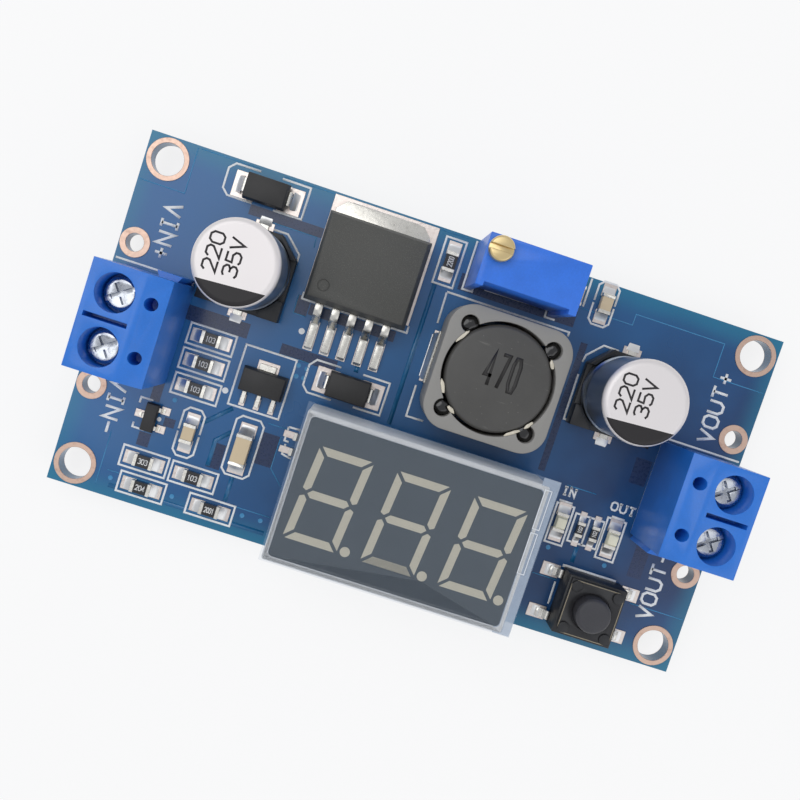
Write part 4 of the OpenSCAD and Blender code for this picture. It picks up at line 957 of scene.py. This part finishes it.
@dataclass
class Board:
    """The circuit board with its copper, mask and printed legend.

    Attributes:
        top: Height of the board's top face.
        line: Width of the legend's lines.
        chip_box: Length and width of the box round a chip resistor.
        resistors: Centres of the chip resistors that lie along X.
    """

    top: float = 1.6
    line: float = 0.2
    chip_box: Point = (4.7, 2.1)
    resistors: tuple[Point, ...] = (
        (-21.55, 0.25), (-21.55, -2.3), (-21.55, -4.9), (-24.3, -13.4), (-19.2, -13.45), (-23.8, -16.0),
        (-16.65, -16.05))

    def build(self) -> None:
        """Dresses the board and adds what is etched and printed on it."""
        dressed("board", Finish.MASK)
        dressed("hole_rings", Finish.RING, 0.03, segments=1)
        dressed("solder_lands", Finish.LAND, 0.03, segments=1)
        dressed("solder_joints", Finish.SOLDER)
        self.copper()
        self.legend()
        self.labels()
        self.vias()

    def copper(self) -> None:
        """Adds the bare laminate between pours, painted highlights along the pours' edges and the traces under the
        mask.
        """
        gaps = (
            (-21.8, 13.1, -14.3, 14.1), (-25.0, 1.4, -18.3, 2.9), (-14.7, 5.3, -13.4, 7.2), (-14.8, 0.95, -9.0, 2.1),
            (-13.3, 5.6, -4.4, 6.7), (-25.6, -7.3, -24.6, -5.2), (-25.6, -12.0, -24.4, -10.6),
            (-23.6, -9.4, -22.5, -8.5), (-13.9, -10.2, -12.1, -6.9), (0.0, 12.6, 12.2, 14.3), (13.5, -2.0, 14.2, 11.5),
            (22.7, -0.4, 24.4, 2.3), (25.7, -9.6, 27.2, -6.0), (-18.4, -12.0, -17.0, -9.4))
        plates = [Bench.plate(f"gap_{index}", ((x0, y0), (x1, y0), (x1, y1), (x0, y1)), self.top, 0.006)
                  for index, (x0, y0, x1, y1) in enumerate(gaps)]
        finished(Bench.join("bare_laminate", plates), Finish.BARE_LAMINATE)
        # pale lines along the pours' edges: painted highlights on the mask's ridges
        edges = (
            ((-32.8, 13.05), (-28.25, 13.05), (-28.25, 17.65)), ((-28.0, 17.65), (-22.0, 17.65)),
            ((-19.5, 17.65), (-0.5, 17.65)), ((-20.5, 13.05), (-14.75, 13.05), (-14.7, 12.0)),
            ((-14.7, 7.2), (-14.7, 5.3), (-13.4, 5.3)), ((-14.6, 1.0), (-11.6, 1.0)),
            ((-13.7, -5.95), (-11.8, -5.95)), ((-15.0, -15.0), (-10.6, -15.0)), ((-27.5, -15.3), (-22.0, -15.3)),
            ((12.4, 14.7), (17.85, 14.7), (17.85, 15.85), (27.35, 15.85), (27.35, 12.35), (32.8, 12.35)),
            ((16.9, -2.6), (20.0, -2.6)), ((16.4, -12.2), (19.0, -12.2)), ((27.0, -12.2), (32.8, -12.2)),
            ((-28.25, -17.0), (-28.25, -11.5)), ((-12.1, -6.9), (-12.1, -10.2), (-10.6, -11.7)))
        finished(Bench.ribbons("pour_edge_highlights", edges, 0.09, self.top, 0.012), Finish.PALE_MASK_AND_HIGHLIGHT)
        traces = (
            ((-17.5, -5.6), (-20.0, -8.0)), ((-16.9, -7.9), (-18.2, -9.2), (-18.2, -11.9)),
            ((-2.25, 12.6), (-2.25, -2.3)), ((-15.5, -12.2), (-15.5, -14.8)), ((19.9, -8.3), (19.9, -10.0)),
            ((-27.0, -16.75), (-10.8, -16.75)), ((-7.0, 2.2), (-7.0, 1.6)))
        finished(Bench.ribbons("traces", traces, 0.45, self.top, 0.016), Finish.TRACE)

    def legend(self) -> None:
        """Adds the printed outlines round the parts."""
        wide, deep = self.chip_box[0] / 2, self.chip_box[1] / 2
        lines: list[Sequence[Point]] = [ring_path(spot, (wide, deep)) for spot in self.resistors]
        lines += [
            ring_path((-1.52, 14.85), (1.05, 2.35)), ring_path((20.25, -6.52), (1.55, 1.48)),
            ((20.25, -5.04), (20.25, -8.0)),
            ((-32.8, 5.1), (-24.9, 5.1), (-24.9, -5.2)), ((32.8, 5.0), (24.7, 5.0), (24.7, -5.2)),
            ((-21.8, 17.4), (-24.3, 17.4), (-24.9, 16.8), (-24.9, 14.8), (-24.3, 14.2), (-21.8, 14.2)),
            ((-19.6, 17.4), (-16.7, 17.4), (-16.7, 14.2), (-19.6, 14.2)),
            ((-8.5, 1.6), (-11.0, 1.6), (-11.6, 0.9), (-11.6, -1.2), (-11.0, -1.8), (-8.5, -1.8)),
            ((-6.2, 1.6), (-3.4, 1.6), (-3.4, -1.8), (-6.2, -1.8)),
            ((-14.3, 7.6), (-14.3, 6.9), (-3.4, 6.9), (-3.4, 7.6)),
            ring_path((-15.5, -2.2), (2.62, 3.1)),
            ((-19.0, 12.45), (-17.5, 12.45), (-15.85, 10.9), (-15.85, 9.8)),
            ((14.26, 9.66), (14.39, 10.42), (15.8, 11.87), (17.4, 11.83)),
            ((14.28, 8.39), (14.33, 3.66), (14.79, 3.68)),
            ((-11.65, -5.67), (-10.46, -5.62)), ((-11.65, -5.67), (-11.66, -7.09), (-11.2, -7.12)),
            ((-11.45, -7.4), (-11.49, -8.46), (-10.49, -8.67)),
            ((0.45, 17.7), (0.46, 12.78), (1.49, 12.8), (1.49, 13.2)),
            ((9.17, 13.5), (9.19, 12.72), (10.25, 12.73)), ((2.61, 13.4), (9.17, 13.5)),
            ((-0.86, 11.94), (-0.78, 8.79)), ((-0.86, 12.03), (12.03, 12.03), (12.03, 11.6)),
            ((-0.87, 2.26), (-0.86, -0.97), (0.93, -0.96)),
            ((-26.43, -7.9), (-26.43, -7.3), (-25.2, -7.3)), ((-26.43, -9.9), (-26.43, -10.4), (-25.2, -10.4)),
            ((16.6, -4.26), (18.02, -4.26)), ring_path((17.42, -6.65), (0.92, 2.08)),
            ((22.27, -4.25), (23.66, -4.25)), ring_path((22.93, -6.6), (0.98, 2.15)),
            ((18.95, -12.4), (19.0, -14.8))]
        lines += [self.broken_ring((-20.93, -9.3), (1.08, 2.5), 0.5, True),
                  self.broken_ring((14.45, 15.75), (1.08, 2.2), 0.45, True)]
        lines += self.broken_ring((-20.93, -9.3), (1.08, 2.5), 0.5, False, extra=True)
        lines += self.broken_ring((14.45, 15.75), (1.08, 2.2), 0.45, False, extra=True)
        lines += [ring_path((-15.4, -9.05), (1.42, 3.05), 0.5), ((12.5, 14.9), (12.5, 17.8))]
        lines = [line for line in lines if line]
        parts = [Bench.ribbons("legend_lines", lines, self.line, self.top, 0.02),
                 Bench.ribbons("legend_bar", (((19.15, -10.55), (24.89, -10.55)),), 0.32, self.top, 0.02)]
        for index, spot in enumerate(((-13.34, 3.82), (-18.75, -4.14), (-24.11, -8.91))):
            dot = Bench.disc(f"dot_{index}", 0.31 if index < 2 else 0.22, 0.02, (*spot, self.top), 20)
            parts.append(dot)
        finished(Bench.join("legend", parts), Finish.LEGEND)

    @staticmethod
    def broken_ring(centre: Point, half: Point, corner: float, first: bool, extra: bool = False) -> list:
        """Returns the upper, or lower, half of a box with cut corners that has a gap on each side."""
        x, y = centre
        w, h = half
        c = corner
        gap = 0.12
        upper = [(x - w, y + gap), (x - w, y + h - c), (x - w + c, y + h), (x + w - c, y + h), (x + w, y + h - c),
                 (x + w, y + gap)]
        lower = [(px, 2 * y - py) for px, py in upper]
        if extra:
            return [lower]
        return upper if first else lower

    def labels(self) -> None:
        """Adds the printed words that say what each end and lamp is for."""
        ends = (Label("VIN+", (-28.75, 9.0), 5.75, 1.85, -90, 0.27), Label("VIN-", (-28.75, -9.0), 5.75, 1.8, -90, 0.27),
                Label("VOUT+", (28.65, 9.5), 7.5, 1.75, 90, 0.24), Label("VOUT-", (28.75, -9.65), 7.5, 1.75, 90, 0.24))
        finished(lettering("end_labels", ends, self.top, 0.02), Finish.LEGEND)
        lamps = (Label("IN", (17.3, -3.2), 1.5, 1.0, 0, 0.2, 0.5, True),
                 Label("OUT", (23.15, -3.2), 2.7, 1.0, 0, 0.2, 0.45, True))
        finished(lettering("lamp_labels", lamps, self.top, 0.02), Finish.LEGEND)

    def vias(self) -> None:
        """Adds the masked vias, as small dished rings."""
        spots = ((-20.65, -15.95), (-13.4, -15.65), (-11.5, -15.6), (17.1, -9.25), (-12.6, 0.5), (-12.5, -0.6),
                 (-23.2, -6.6), (-27.0, -16.0), (-11.7, 0.4), (-11.75, -0.55), (23.2, -9.3))
        cup = Bench.disc("via", 0.24, 0.03, (0, 0, self.top), 16)
        Bench.edit(cup, "FACE", lambda vert: vert.co.z > (self.top + 0.02) * MM,
                   lambda: bpy.ops.mesh.inset(thickness=0.11 * MM),
                   lambda: bpy.ops.transform.translate(value=(0, 0, -0.026 * MM)))
        moves = [Matrix.Translation((x * MM, y * MM, 0)) for x, y in spots]
        finished(Bench.repeat(cup, "vias", moves), Finish.PALE_MASK_AND_HIGHLIGHT)


@dataclass
class ScrewTerminal:
    """A two-pole screw terminal with its contacts, screws and rising cages.

    Attributes:
        end: "input" or "output".
        rounding: Width of the housing's rounded edges.
    """

    end: str
    rounding: float = 0.16

    def build(self) -> None:
        """Dresses the terminal's solids."""
        dressed(f"{self.end}_terminal_housing", Finish.TERMINAL_BLUE, self.rounding, segments=3)
        dressed(f"{self.end}_terminal_contacts", Finish.TIN_PLATE, 0.05, segments=1)
        for pole in ("plus", "minus"):
            screw, cage = f"{self.end}_{pole}_screw", f"{self.end}_{pole}_cage"
            dressed(screw, Finish.SCREW, 0.06, body=screw)
            dressed(cage, Finish.CAGE, 0.06, body=cage, segments=1)


@dataclass
class CanCapacitor:
    """A surface-mounted can capacitor with its printed top.

    Attributes:
        end: "input" or "output".
        finish: The can's finish, which holds the black segment.
        rows: The words on the top, with their places from the can's axis.
    """

    end: str
    finish: Finish
    rows: tuple[tuple[str, float], ...] = (("220", -2.1), ("35V", -0.25))

    def build(self) -> None:
        """Dresses the can, base and leads and prints the top."""
        can = f"{self.end}_capacitor_can"
        dressed(can, self.finish)
        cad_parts[can].data.shade_smooth()
        dressed(f"{self.end}_capacitor_base", Finish.BASE_BLACK, 0.08)
        dressed(f"{self.end}_capacitor_leads", Finish.TIN_PLATE, 0.04, segments=1)
        low, high = span(can)
        centre = (low + high) / 2
        words = [Label(word, (centre.x + shift, centre.y + 0.35), 3.6, 1.45, 90, 0.19, 0.28)
                 for word, shift in self.rows]
        finished(lettering(f"{self.end}_capacitor_print", words, high.z, 0.01), Finish.CAN_INK)
        for side in (-1, 1):
            SolderWork.meniscus(f"{self.end}_capacitor_solder_{'near' if side < 0 else 'far'}",
                                (centre.x, centre.y + side * 4.62), 90 * side, (0.75, 1.25, 0.24))


class SolderWork:
    """Solder that has run up against what it holds."""

    @staticmethod
    def wedge(name: str, size: Spot) -> bpy.types.Object:
        """Makes a concave ramp of solder that is high at x = 0 and thin at its far end.

        Args:
            name: The object's name.
            size: Its length, width and height.

        Returns:
            The ramp, on z = 0.
        """
        Bench.clear()
        bpy.ops.mesh.primitive_grid_add(x_subdivisions=6, y_subdivisions=5, size=1)
        thing = bpy.context.object
        for vert in thing.data.vertices:
            u, v = vert.co.x + 0.5, vert.co.y * 2
            crown = (1 - u) ** 1.9 * (1 - 0.3 * v ** 4) + 0.1 * math.sin(math.pi * min(1, u * 1.1)) * (1 - v * v)
            spread = 1 - 0.12 * u ** 2
            vert.co = (u * size[0] * MM, v / 2 * size[1] * spread * MM, max(crown, 0.03) * size[2] * MM)
        Bench.settle(thing, name)
        Bench.face_up(thing)
        Bench.pick(thing)
        bpy.ops.object.mode_set(mode="EDIT")
        bpy.ops.mesh.select_all(action="SELECT")
        bpy.ops.mesh.extrude_region_move(TRANSFORM_OT_translate={"value": (0, 0, 0)})
        bpy.ops.transform.resize(value=(1, 1, 0), center_override=(0, 0, 0))
        bpy.ops.mesh.select_all(action="SELECT")
        bpy.ops.mesh.normals_make_consistent(inside=False)
        bpy.ops.object.mode_set(mode="OBJECT")
        bpy.ops.object.shade_smooth_by_angle(angle=math.radians(50))
        return thing

    @classmethod
    def meniscus(cls, name: str, spot: Point, turn: float, size: Spot, z: float = 1.68) -> None:
        """Places one ramp of solder and finishes it."""
        move = Matrix.Translation((spot[0] * MM, spot[1] * MM, z * MM)) @ Matrix.Rotation(math.radians(turn), 4, "Z")
        finished(Bench.repeat(cls.wedge(name + "_start", size), name, [move]), Finish.SOLDER)

    @classmethod
    def row(cls, name: str, spots: Sequence[Spot], size: Spot, z: float = 1.68) -> None:
        """Places copies of one ramp, each at X, Y and a turn, and finishes them."""
        moves = [Matrix.Translation((x * MM, y * MM, z * MM)) @ Matrix.Rotation(math.radians(turn), 4, "Z")
                 for x, y, turn in spots]
        finished(Bench.repeat(cls.wedge(name + "_start", size), name, moves), Finish.SOLDER)


@dataclass
class Regulator:
    """The five-lead regulator on its heat tab."""

    def build(self) -> None:
        """Dresses the body, tab and leads and adds the solder at the leads."""
        dressed("regulator_body", Finish.COMPOUND, 0.1)
        dressed("regulator_tab", Finish.TIN_PLATE, 0.06)
        dressed("regulator_leads", Finish.TIN_PLATE, 0.06)
        low, high = span("regulator_leads")
        pitch = (high.x - low.x - 0.8) / 4
        spots = [(low.x + 0.4 + index * pitch, low.y + 0.12, -90) for index in range(5)]
        SolderWork.row("regulator_solder", spots, (0.36, 0.8, 0.42))
        low, high = span("regulator_tab")
        SolderWork.meniscus("regulator_tab_solder", ((low.x + high.x) / 2, high.y - 0.02), 90, (0.22, 7.6, 0.6))


@dataclass
class ShieldedInductor:
    """The drum inductor in its square ferrite shield.

    Attributes:
        glue_place: Distance of the glue in the notches from the drum's axis.
        bead_turns: Turns of the pale beads along the gap, in degrees; whitish glue whose pale colour is partly a
            painted glint.
    """

    glue_place: float = 5.75
    bead_turns: tuple[float, ...] = (33.0, 205.0, 231.0, 303.0, 322.0, 148.0)

    def build(self) -> None:
        """Dresses the solids and adds glue, beads and the value."""
        dressed("inductor_shield", Finish.FERRITE, 0.28, segments=3)
        dressed("inductor_drum", Finish.DRUM, 0.12)
        dressed("inductor_winding", Finish.COPPER)
        dressed("inductor_clips", Finish.TIN_PLATE, 0.05, segments=1)
        low, high = span("inductor_shield")
        centre = (low + high) / 2
        glue = [self.blob(f"glue_{index}", 0.8, 0.55, index) for index in range(4)]
        placed = [Bench.repeat(blob, blob.name + "_set", [Matrix.Translation((
            (centre.x + self.glue_place * math.cos(turn)) * MM, (centre.y + self.glue_place * math.sin(turn)) * MM,
            (high.z - 1.15) * MM))])
            for blob, turn in zip(glue, (math.radians(45 + 90 * index) for index in range(4)))]
        finished(Bench.join("inductor_glue", placed), Finish.GLUE)
        # pale beads along the gap: whitish glue, partly a painted glint
        beads = []
        for index, turn in enumerate(self.bead_turns):
            bead = self.blob(f"bead_{index}", 0.24, 0.22, index + 7)
            beads.append(Bench.repeat(bead, bead.name + "_set", [
                Matrix.Translation((centre.x * MM, centre.y * MM, (high.z - 0.28) * MM))
                @ Matrix.Rotation(math.radians(turn), 4, "Z") @ Matrix.Translation((5.2 * MM, 0, 0))
                @ Matrix.Diagonal((0.8, 3.2 if index % 2 else 2.0, 1, 1))]))
        finished(Bench.join("inductor_glue_glints", beads), Finish.GLUE_GLINT_BEAD)
        _, drum_top = span("inductor_drum")
        value = Label("470", (centre.x + 0.15, centre.y + 0.75), 3.4, 3.5, 0, 0.34, 0.75)
        finished(lettering("inductor_value", [value], drum_top.z, 0.008), Finish.DRUM_INK)
        for side, name in ((-1, "left"), (1, "right")):
            SolderWork.meniscus(f"inductor_solder_{name}", (centre.x + side * 6.24, centre.y), 90 - 90 * side,
                                (0.42, 4.9, 0.8))

    @staticmethod
    def blob(name: str, radius: float, height: float, seed: int) -> bpy.types.Object:
        """Makes an uneven drop of glue that sits on z = 0.

        Args:
            name: The object's name.
            radius: Its mean radius.
            height: Its height.
            seed: Picks its unevenness.

        Returns:
            The drop.
        """
        Bench.clear()
        bpy.ops.mesh.primitive_uv_sphere_add(segments=20, ring_count=10, radius=1)
        thing = bpy.context.object
        for vert in thing.data.vertices:
            angle = math.atan2(vert.co.y, vert.co.x)
            wave = 1 + 0.12 * math.sin(2 * angle + seed) + 0.07 * math.sin(5 * angle + 2 * seed)
            vert.co = (vert.co.x * radius * wave * MM, vert.co.y * radius * wave * MM,
                       (vert.co.z + 1) / 2 * height * MM)
        Bench.settle(thing, name)
        Bench.edit(thing, "VERT", lambda vert: vert.co.z < height * 0.12 * MM,
                   lambda: bpy.ops.transform.resize(value=(1, 1, 0), center_override=(0, 0, 0)))
        bpy.ops.object.shade_smooth_by_angle(angle=math.radians(60))
        return thing


@dataclass
class Trimmer:
    """The multi-turn trimmer with its slotted adjusting screw."""

    def build(self) -> None:
        """Dresses the housing, screw and pins."""
        dressed("trimmer_housing", Finish.TRIMMER_BLUE, 0.14)
        dressed("trimmer_screw", Finish.BRASS, 0.05, body="trimmer_screw")
        dressed("trimmer_pins", Finish.TIN_PLATE)


@dataclass
class DigitDisplay:
    """The three-digit display with its clear front film and the driver under it.

    Attributes:
        mark: Width of the lines printed on the film's free edge.
    """

    mark: float = 0.09

    def build(self) -> None:
        """Dresses the display's solids and its film."""
        dressed("display_shell", Finish.DISPLAY_SHELL, 0.12)
        dressed("display_front", Finish.DISPLAY_BLACK)
        dressed("display_segments", Finish.SEGMENT)
        dressed("display_pins", Finish.TIN_PLATE)
        dressed("display_driver_body", Finish.DIODE_BLACK, 0.05, segments=1)
        dressed("display_driver_leads", Finish.TIN_PLATE)
        self.film()
        self.outlines()

    def film(self) -> None:
        """Replaces the film's solid by a sheet that is clearer over the face than past its edge."""
        low, high = span("display_film")
        shell_low, shell_high = span("display_shell")
        sheet = Bench.block("display_film_sheet", tuple(high - low), ((low.x + high.x) / 2, (low.y + high.y) / 2, low.z))
        Bench.soften(sheet, 0.04, 1)
        # the sheet's pale, uneven tint over the black face is a painted reflection
        finished(sheet, Finish.FILM, MODULE, ["display_film"])
        right = (shell_high.x, high.x)
        strip = Bench.plate("display_film_edge", ((right[0] - 0.9, low.y + 0.05), (right[1] - 0.05, low.y + 0.05),
                                                 (right[1] - 0.05, high.y - 0.05), (right[0] - 0.9, high.y - 0.05)),
                            low.z - 0.03, 0.02)
        finished(strip, Finish.FILM_EDGE)

    def outlines(self) -> None:
        """Adds the thin outlines printed along the film's edge."""
        low, high = span("display_shell")
        x = high.x - 0.15
        boxes = (ring_path((x, high.y - 2.3), (0.32, 1.9)), ring_path((x, high.y - 6.6), (0.32, 2.0)))
        finished(Bench.ribbons("display_edge_marks", boxes, self.mark, high.z + 0.1, 0.008), Finish.EDGE_MARK)


@dataclass
class PushSwitch:
    """The push switch with its cover, rivets, button and snap dome."""

    def build(self) -> None:
        """Dresses the switch's solids and adds the cover's bright edge and the solder."""
        dressed("switch_base", Finish.SWITCH_BLACK, 0.08)
        dressed("switch_cover", Finish.SWITCH_COVER, 0.06)
        dressed("switch_button", Finish.BUTTON, 0.1, body="switch_button", segments=3)
        dressed("switch_dome", Finish.DOME)
        dressed("switch_leads", Finish.TIN_PLATE, 0.04, segments=1)
        low, high = span("switch_cover")
        centre, half = (low + high) / 2, (high - low) / 2
        outline = ring_path((centre.x, centre.y), (half.x - 0.1, half.y - 0.1), 0.5)
        finished(Bench.ribbons("switch_cover_edge", [outline], 0.09, high.z, 0.012), Finish.COVER_SEAM)
        base_low, base_high = span("switch_leads")
        spots = [(x, centre.y + side * 2.25, turn) for side in (-1, 1)
                 for x, turn in ((base_low.x + 0.35, 180), (base_high.x - 0.35, 0))]
        SolderWork.row("switch_solder", spots, (0.75, 1.15, 0.26))


@dataclass
class Diode:
    """A moulded two-lead diode with its cathode band.

    Attributes:
        name: "input_diode" or "catch_diode".
        band_side: Side of the band along X; not used.
    """

    name: str
    band_side: int

    def build(self) -> None:
        """Dresses the body and leads and adds the solder."""
        body = f"{self.name}_body"
        dressed(body, Finish.DIODE_BLACK, 0.06)
        dressed(f"{self.name}_leads", Finish.TIN_PLATE, 0.05, segments=1)
        low, high = span(body)
        centre = (low + high) / 2
        spots = [(centre.x + side * (high.x - low.x + 0.86) / 2, centre.y, 90 - 90 * side) for side in (-1, 1)]
        SolderWork.row(f"{self.name}_solder", spots, (0.62, 1.75, 0.75))


@dataclass
class ChipParts:
    """The small chips, transistor, logic supply and indicators.

    Attributes:
        marks: Values on the larger resistors, by place.
        small_marks: Values on the smaller resistors, by place.
        lands: Height of the soldering lands; not used.
    """

    marks: tuple[tuple[str, Point, float], ...] = (
        ("103", (-21.55, 0.25), 0), ("103", (-21.55, -2.3), 0), ("103", (-21.55, -4.9), 0),
        ("2200", (-1.5, 14.9), 90), ("303", (-24.3, -13.4), 0), ("103", (-19.2, -13.45), 0),
        ("204", (-23.8, -16.0), 0), ("2001", (-16.65, -16.05), 0))
    small_marks: tuple[tuple[str, Point, float], ...] = (("102", (19.5, -6.5), 90), ("102", (21.05, -6.5), 90))
    lands: float = 1.68

    def build(self) -> None:
        """Dresses the chips and adds values and solder."""
        dressed("chip_resistors", Finish.RESISTOR_BLACK)
        dressed("chip_resistor_ends", Finish.TIN_PLATE, 0.05, segments=1)
        dressed("ceramic_capacitors", Finish.CERAMIC_TAN, 0.05, segments=1)
        dressed("ceramic_capacitor_ends", Finish.TIN_PLATE, 0.05, segments=1)
        dressed("indicator_leds", Finish.LED, 0.08)
        dressed("indicator_led_ends", Finish.TIN_PLATE, 0.05, segments=1)
        dressed("logic_supply_body", Finish.DIODE_BLACK, 0.05)
        dressed("logic_supply_leads", Finish.TIN_PLATE, 0.04, segments=1)
        dressed("transistor_body", Finish.DIODE_BLACK, 0.04)
        dressed("transistor_leads", Finish.TIN_PLATE)
        large = [Label(word, spot, 1.0, 0.58, turn, 0.085, 0.35) for word, spot, turn in self.marks]
        finished(lettering("resistor_values", large, 2.19, 0.006), Finish.RESISTOR_INK)
        small = [Label(word, spot, 0.72, 0.42, turn, 0.07, 0.35) for word, spot, turn in self.small_marks]
        finished(lettering("small_resistor_values", small, 2.09, 0.006), Finish.RESISTOR_INK)
        self.solder()

    def solder(self) -> None:
        """Adds solder at both ends of every chip."""
        chips = [(x, y, turn, 1.0, 0.4) for _, (x, y), turn in self.marks]
        chips += [(-20.9, -9.3, 90, 1.0, 0.6), (14.5, 15.8, 90, 1.0, 0.6), (11.45, 15.8, 90, 1.0, 0.6),
                  (17.4, -6.4, 90, 1.0, 0.3), (22.95, -6.45, 90, 1.0, 0.3)]
        spots = [(x + side * half * math.cos(math.radians(turn)), y + side * half * math.sin(math.radians(turn)),
                  turn + 90 - 90 * side) for x, y, turn, half, _ in chips for side in (-1, 1)]
        SolderWork.row("chip_solder", spots, (0.72, 1.22, 0.36))
        spots = [(x, y + side * 0.8, 90 * side) for x, y in ((19.5, -6.5), (21.05, -6.5)) for side in (-1, 1)]
        SolderWork.row("small_chip_solder", spots, (0.6, 0.66, 0.26))
        spots = [(-15.4, -9.2 + side * 1.6, 90 * side) for side in (-1, 1)]
        SolderWork.row("bulk_chip_solder", spots, (0.8, 1.5, 0.75))


@dataclass
class Studio:
    """Floor, lights, surroundings and camera.

    Attributes:
        floor_z: Height of the floor, at the pins' tips.
        eye: The camera's place in millimetres.
        right: The camera's right.
        up: The camera's up.
        lens: Its focal length for a 36 mm sensor.
    """

    floor_z: float = -1.5
    eye: Spot = (-6.66, 6.44, 92.99)
    right: Spot = (0.9497, 0.3122, 0.0283)
    up: Spot = (-0.3092, 0.9477, -0.0792)
    lens: float = 41.26

    def build(self) -> None:
        """Makes the stage, the lights, the surroundings and the camera."""
        self.floor()
        self.lamp("key", (-150, 90, 330), 300, 0.4)
        self.lamp("fill", (240, -160, 260), 340, 0.22)
        self.surroundings()
        self.camera()
        bpy.context.scene.view_settings.view_transform = "Standard"

    def floor(self) -> None:
        """Makes a wide pale floor that looks white to the camera and keeps the shadow."""
        Bench.clear()
        bpy.ops.mesh.primitive_plane_add(size=3, location=(0, 0, (self.floor_z - 0.02) * MM))
        thing = bpy.context.object
        thing.name = "floor"
        shader = Shader("floor_white")
        shader.set(Base_Color=(0.86, 0.86, 0.86), Roughness=0.7)
        glow = shader.node("ShaderNodeEmission", None, {"Color": (1, 1, 1), "Strength": 1.0})
        path = shader.node("ShaderNodeLightPath")
        nodes = path.socket.node
        seen = Value(shader, nodes.outputs["Is Camera Ray"]) + Value(shader, nodes.outputs["Is Glossy Ray"])
        seen = seen + Value(shader, nodes.outputs["Is Transmission Ray"])
        share = shader.node("ShaderNodeMath", {"operation": "MULTIPLY", "use_clamp": True}, {0: seen, 1: 0.8})
        mixed = shader.node("ShaderNodeMixShader", None, {0: share, 1: Value(shader, shader.surface.outputs[0]), 2: glow})
        shader.feed(shader.output.inputs["Surface"], mixed)
        thing.data.materials.append(shader.material)

    @staticmethod
    def lamp(name: str, place: Spot, size: float, watts: float) -> None:
        """Adds a large soft lamp that looks at the board."""
        light = bpy.data.lights.new(name, "AREA")
        light.shape = "SQUARE"
        light.size = size * MM
        light.energy = watts
        thing = bpy.data.objects.new(name, light)
        thing.location = Vector(place) * MM
        thing.rotation_euler = (-Vector(place)).to_track_quat("-Z", "Y").to_euler()
        bpy.context.collection.objects.link(thing)

    @staticmethod
    def surroundings() -> None:
        """Sets an even pale sky."""
        world = bpy.data.worlds.new("pale_room")
        world.use_nodes = True
        sky = world.node_tree.nodes["Background"]
        sky.inputs["Color"].default_value = (0.92, 0.94, 1.0, 1)
        sky.inputs["Strength"].default_value = 0.62
        bpy.context.scene.world = world

    def camera(self) -> None:
        """Adds the camera."""
        lens = bpy.data.cameras.new("camera")
        lens.lens = self.lens
        lens.sensor_width = 36
        lens.clip_start = 0.001
        lens.clip_end = 10
        thing = bpy.data.objects.new("camera", lens)
        right = Vector(self.right).normalized()
        up = Vector(self.up)
        up = (up - right * up.dot(right)).normalized()
        back = right.cross(up)
        turn = Matrix((right, up, back)).transposed()
        thing.matrix_world = Matrix.Translation(Vector(self.eye) * MM) @ turn.to_4x4()
        bpy.context.collection.objects.link(thing)
        bpy.context.scene.camera = thing


def main() -> None:
    """Builds the stage and the sub-assemblies in order."""
    logging.basicConfig(level=logging.INFO, format="%(name)s: %(message)s")
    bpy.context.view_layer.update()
    Bench.clear()
    Studio().build()
    parts = [Board(), ScrewTerminal("input"), ScrewTerminal("output"), CanCapacitor("input", Finish.INPUT_CAN),
             CanCapacitor("output", Finish.OUTPUT_CAN), Regulator(), ShieldedInductor(), Trimmer(), DigitDisplay(),
             PushSwitch(), Diode("input_diode", -1), Diode("catch_diode", -1), ChipParts()]
    for part in parts:
        part.build()
        log.info("%s is built", type(part).__name__)


if __name__ == "__main__":
    main()
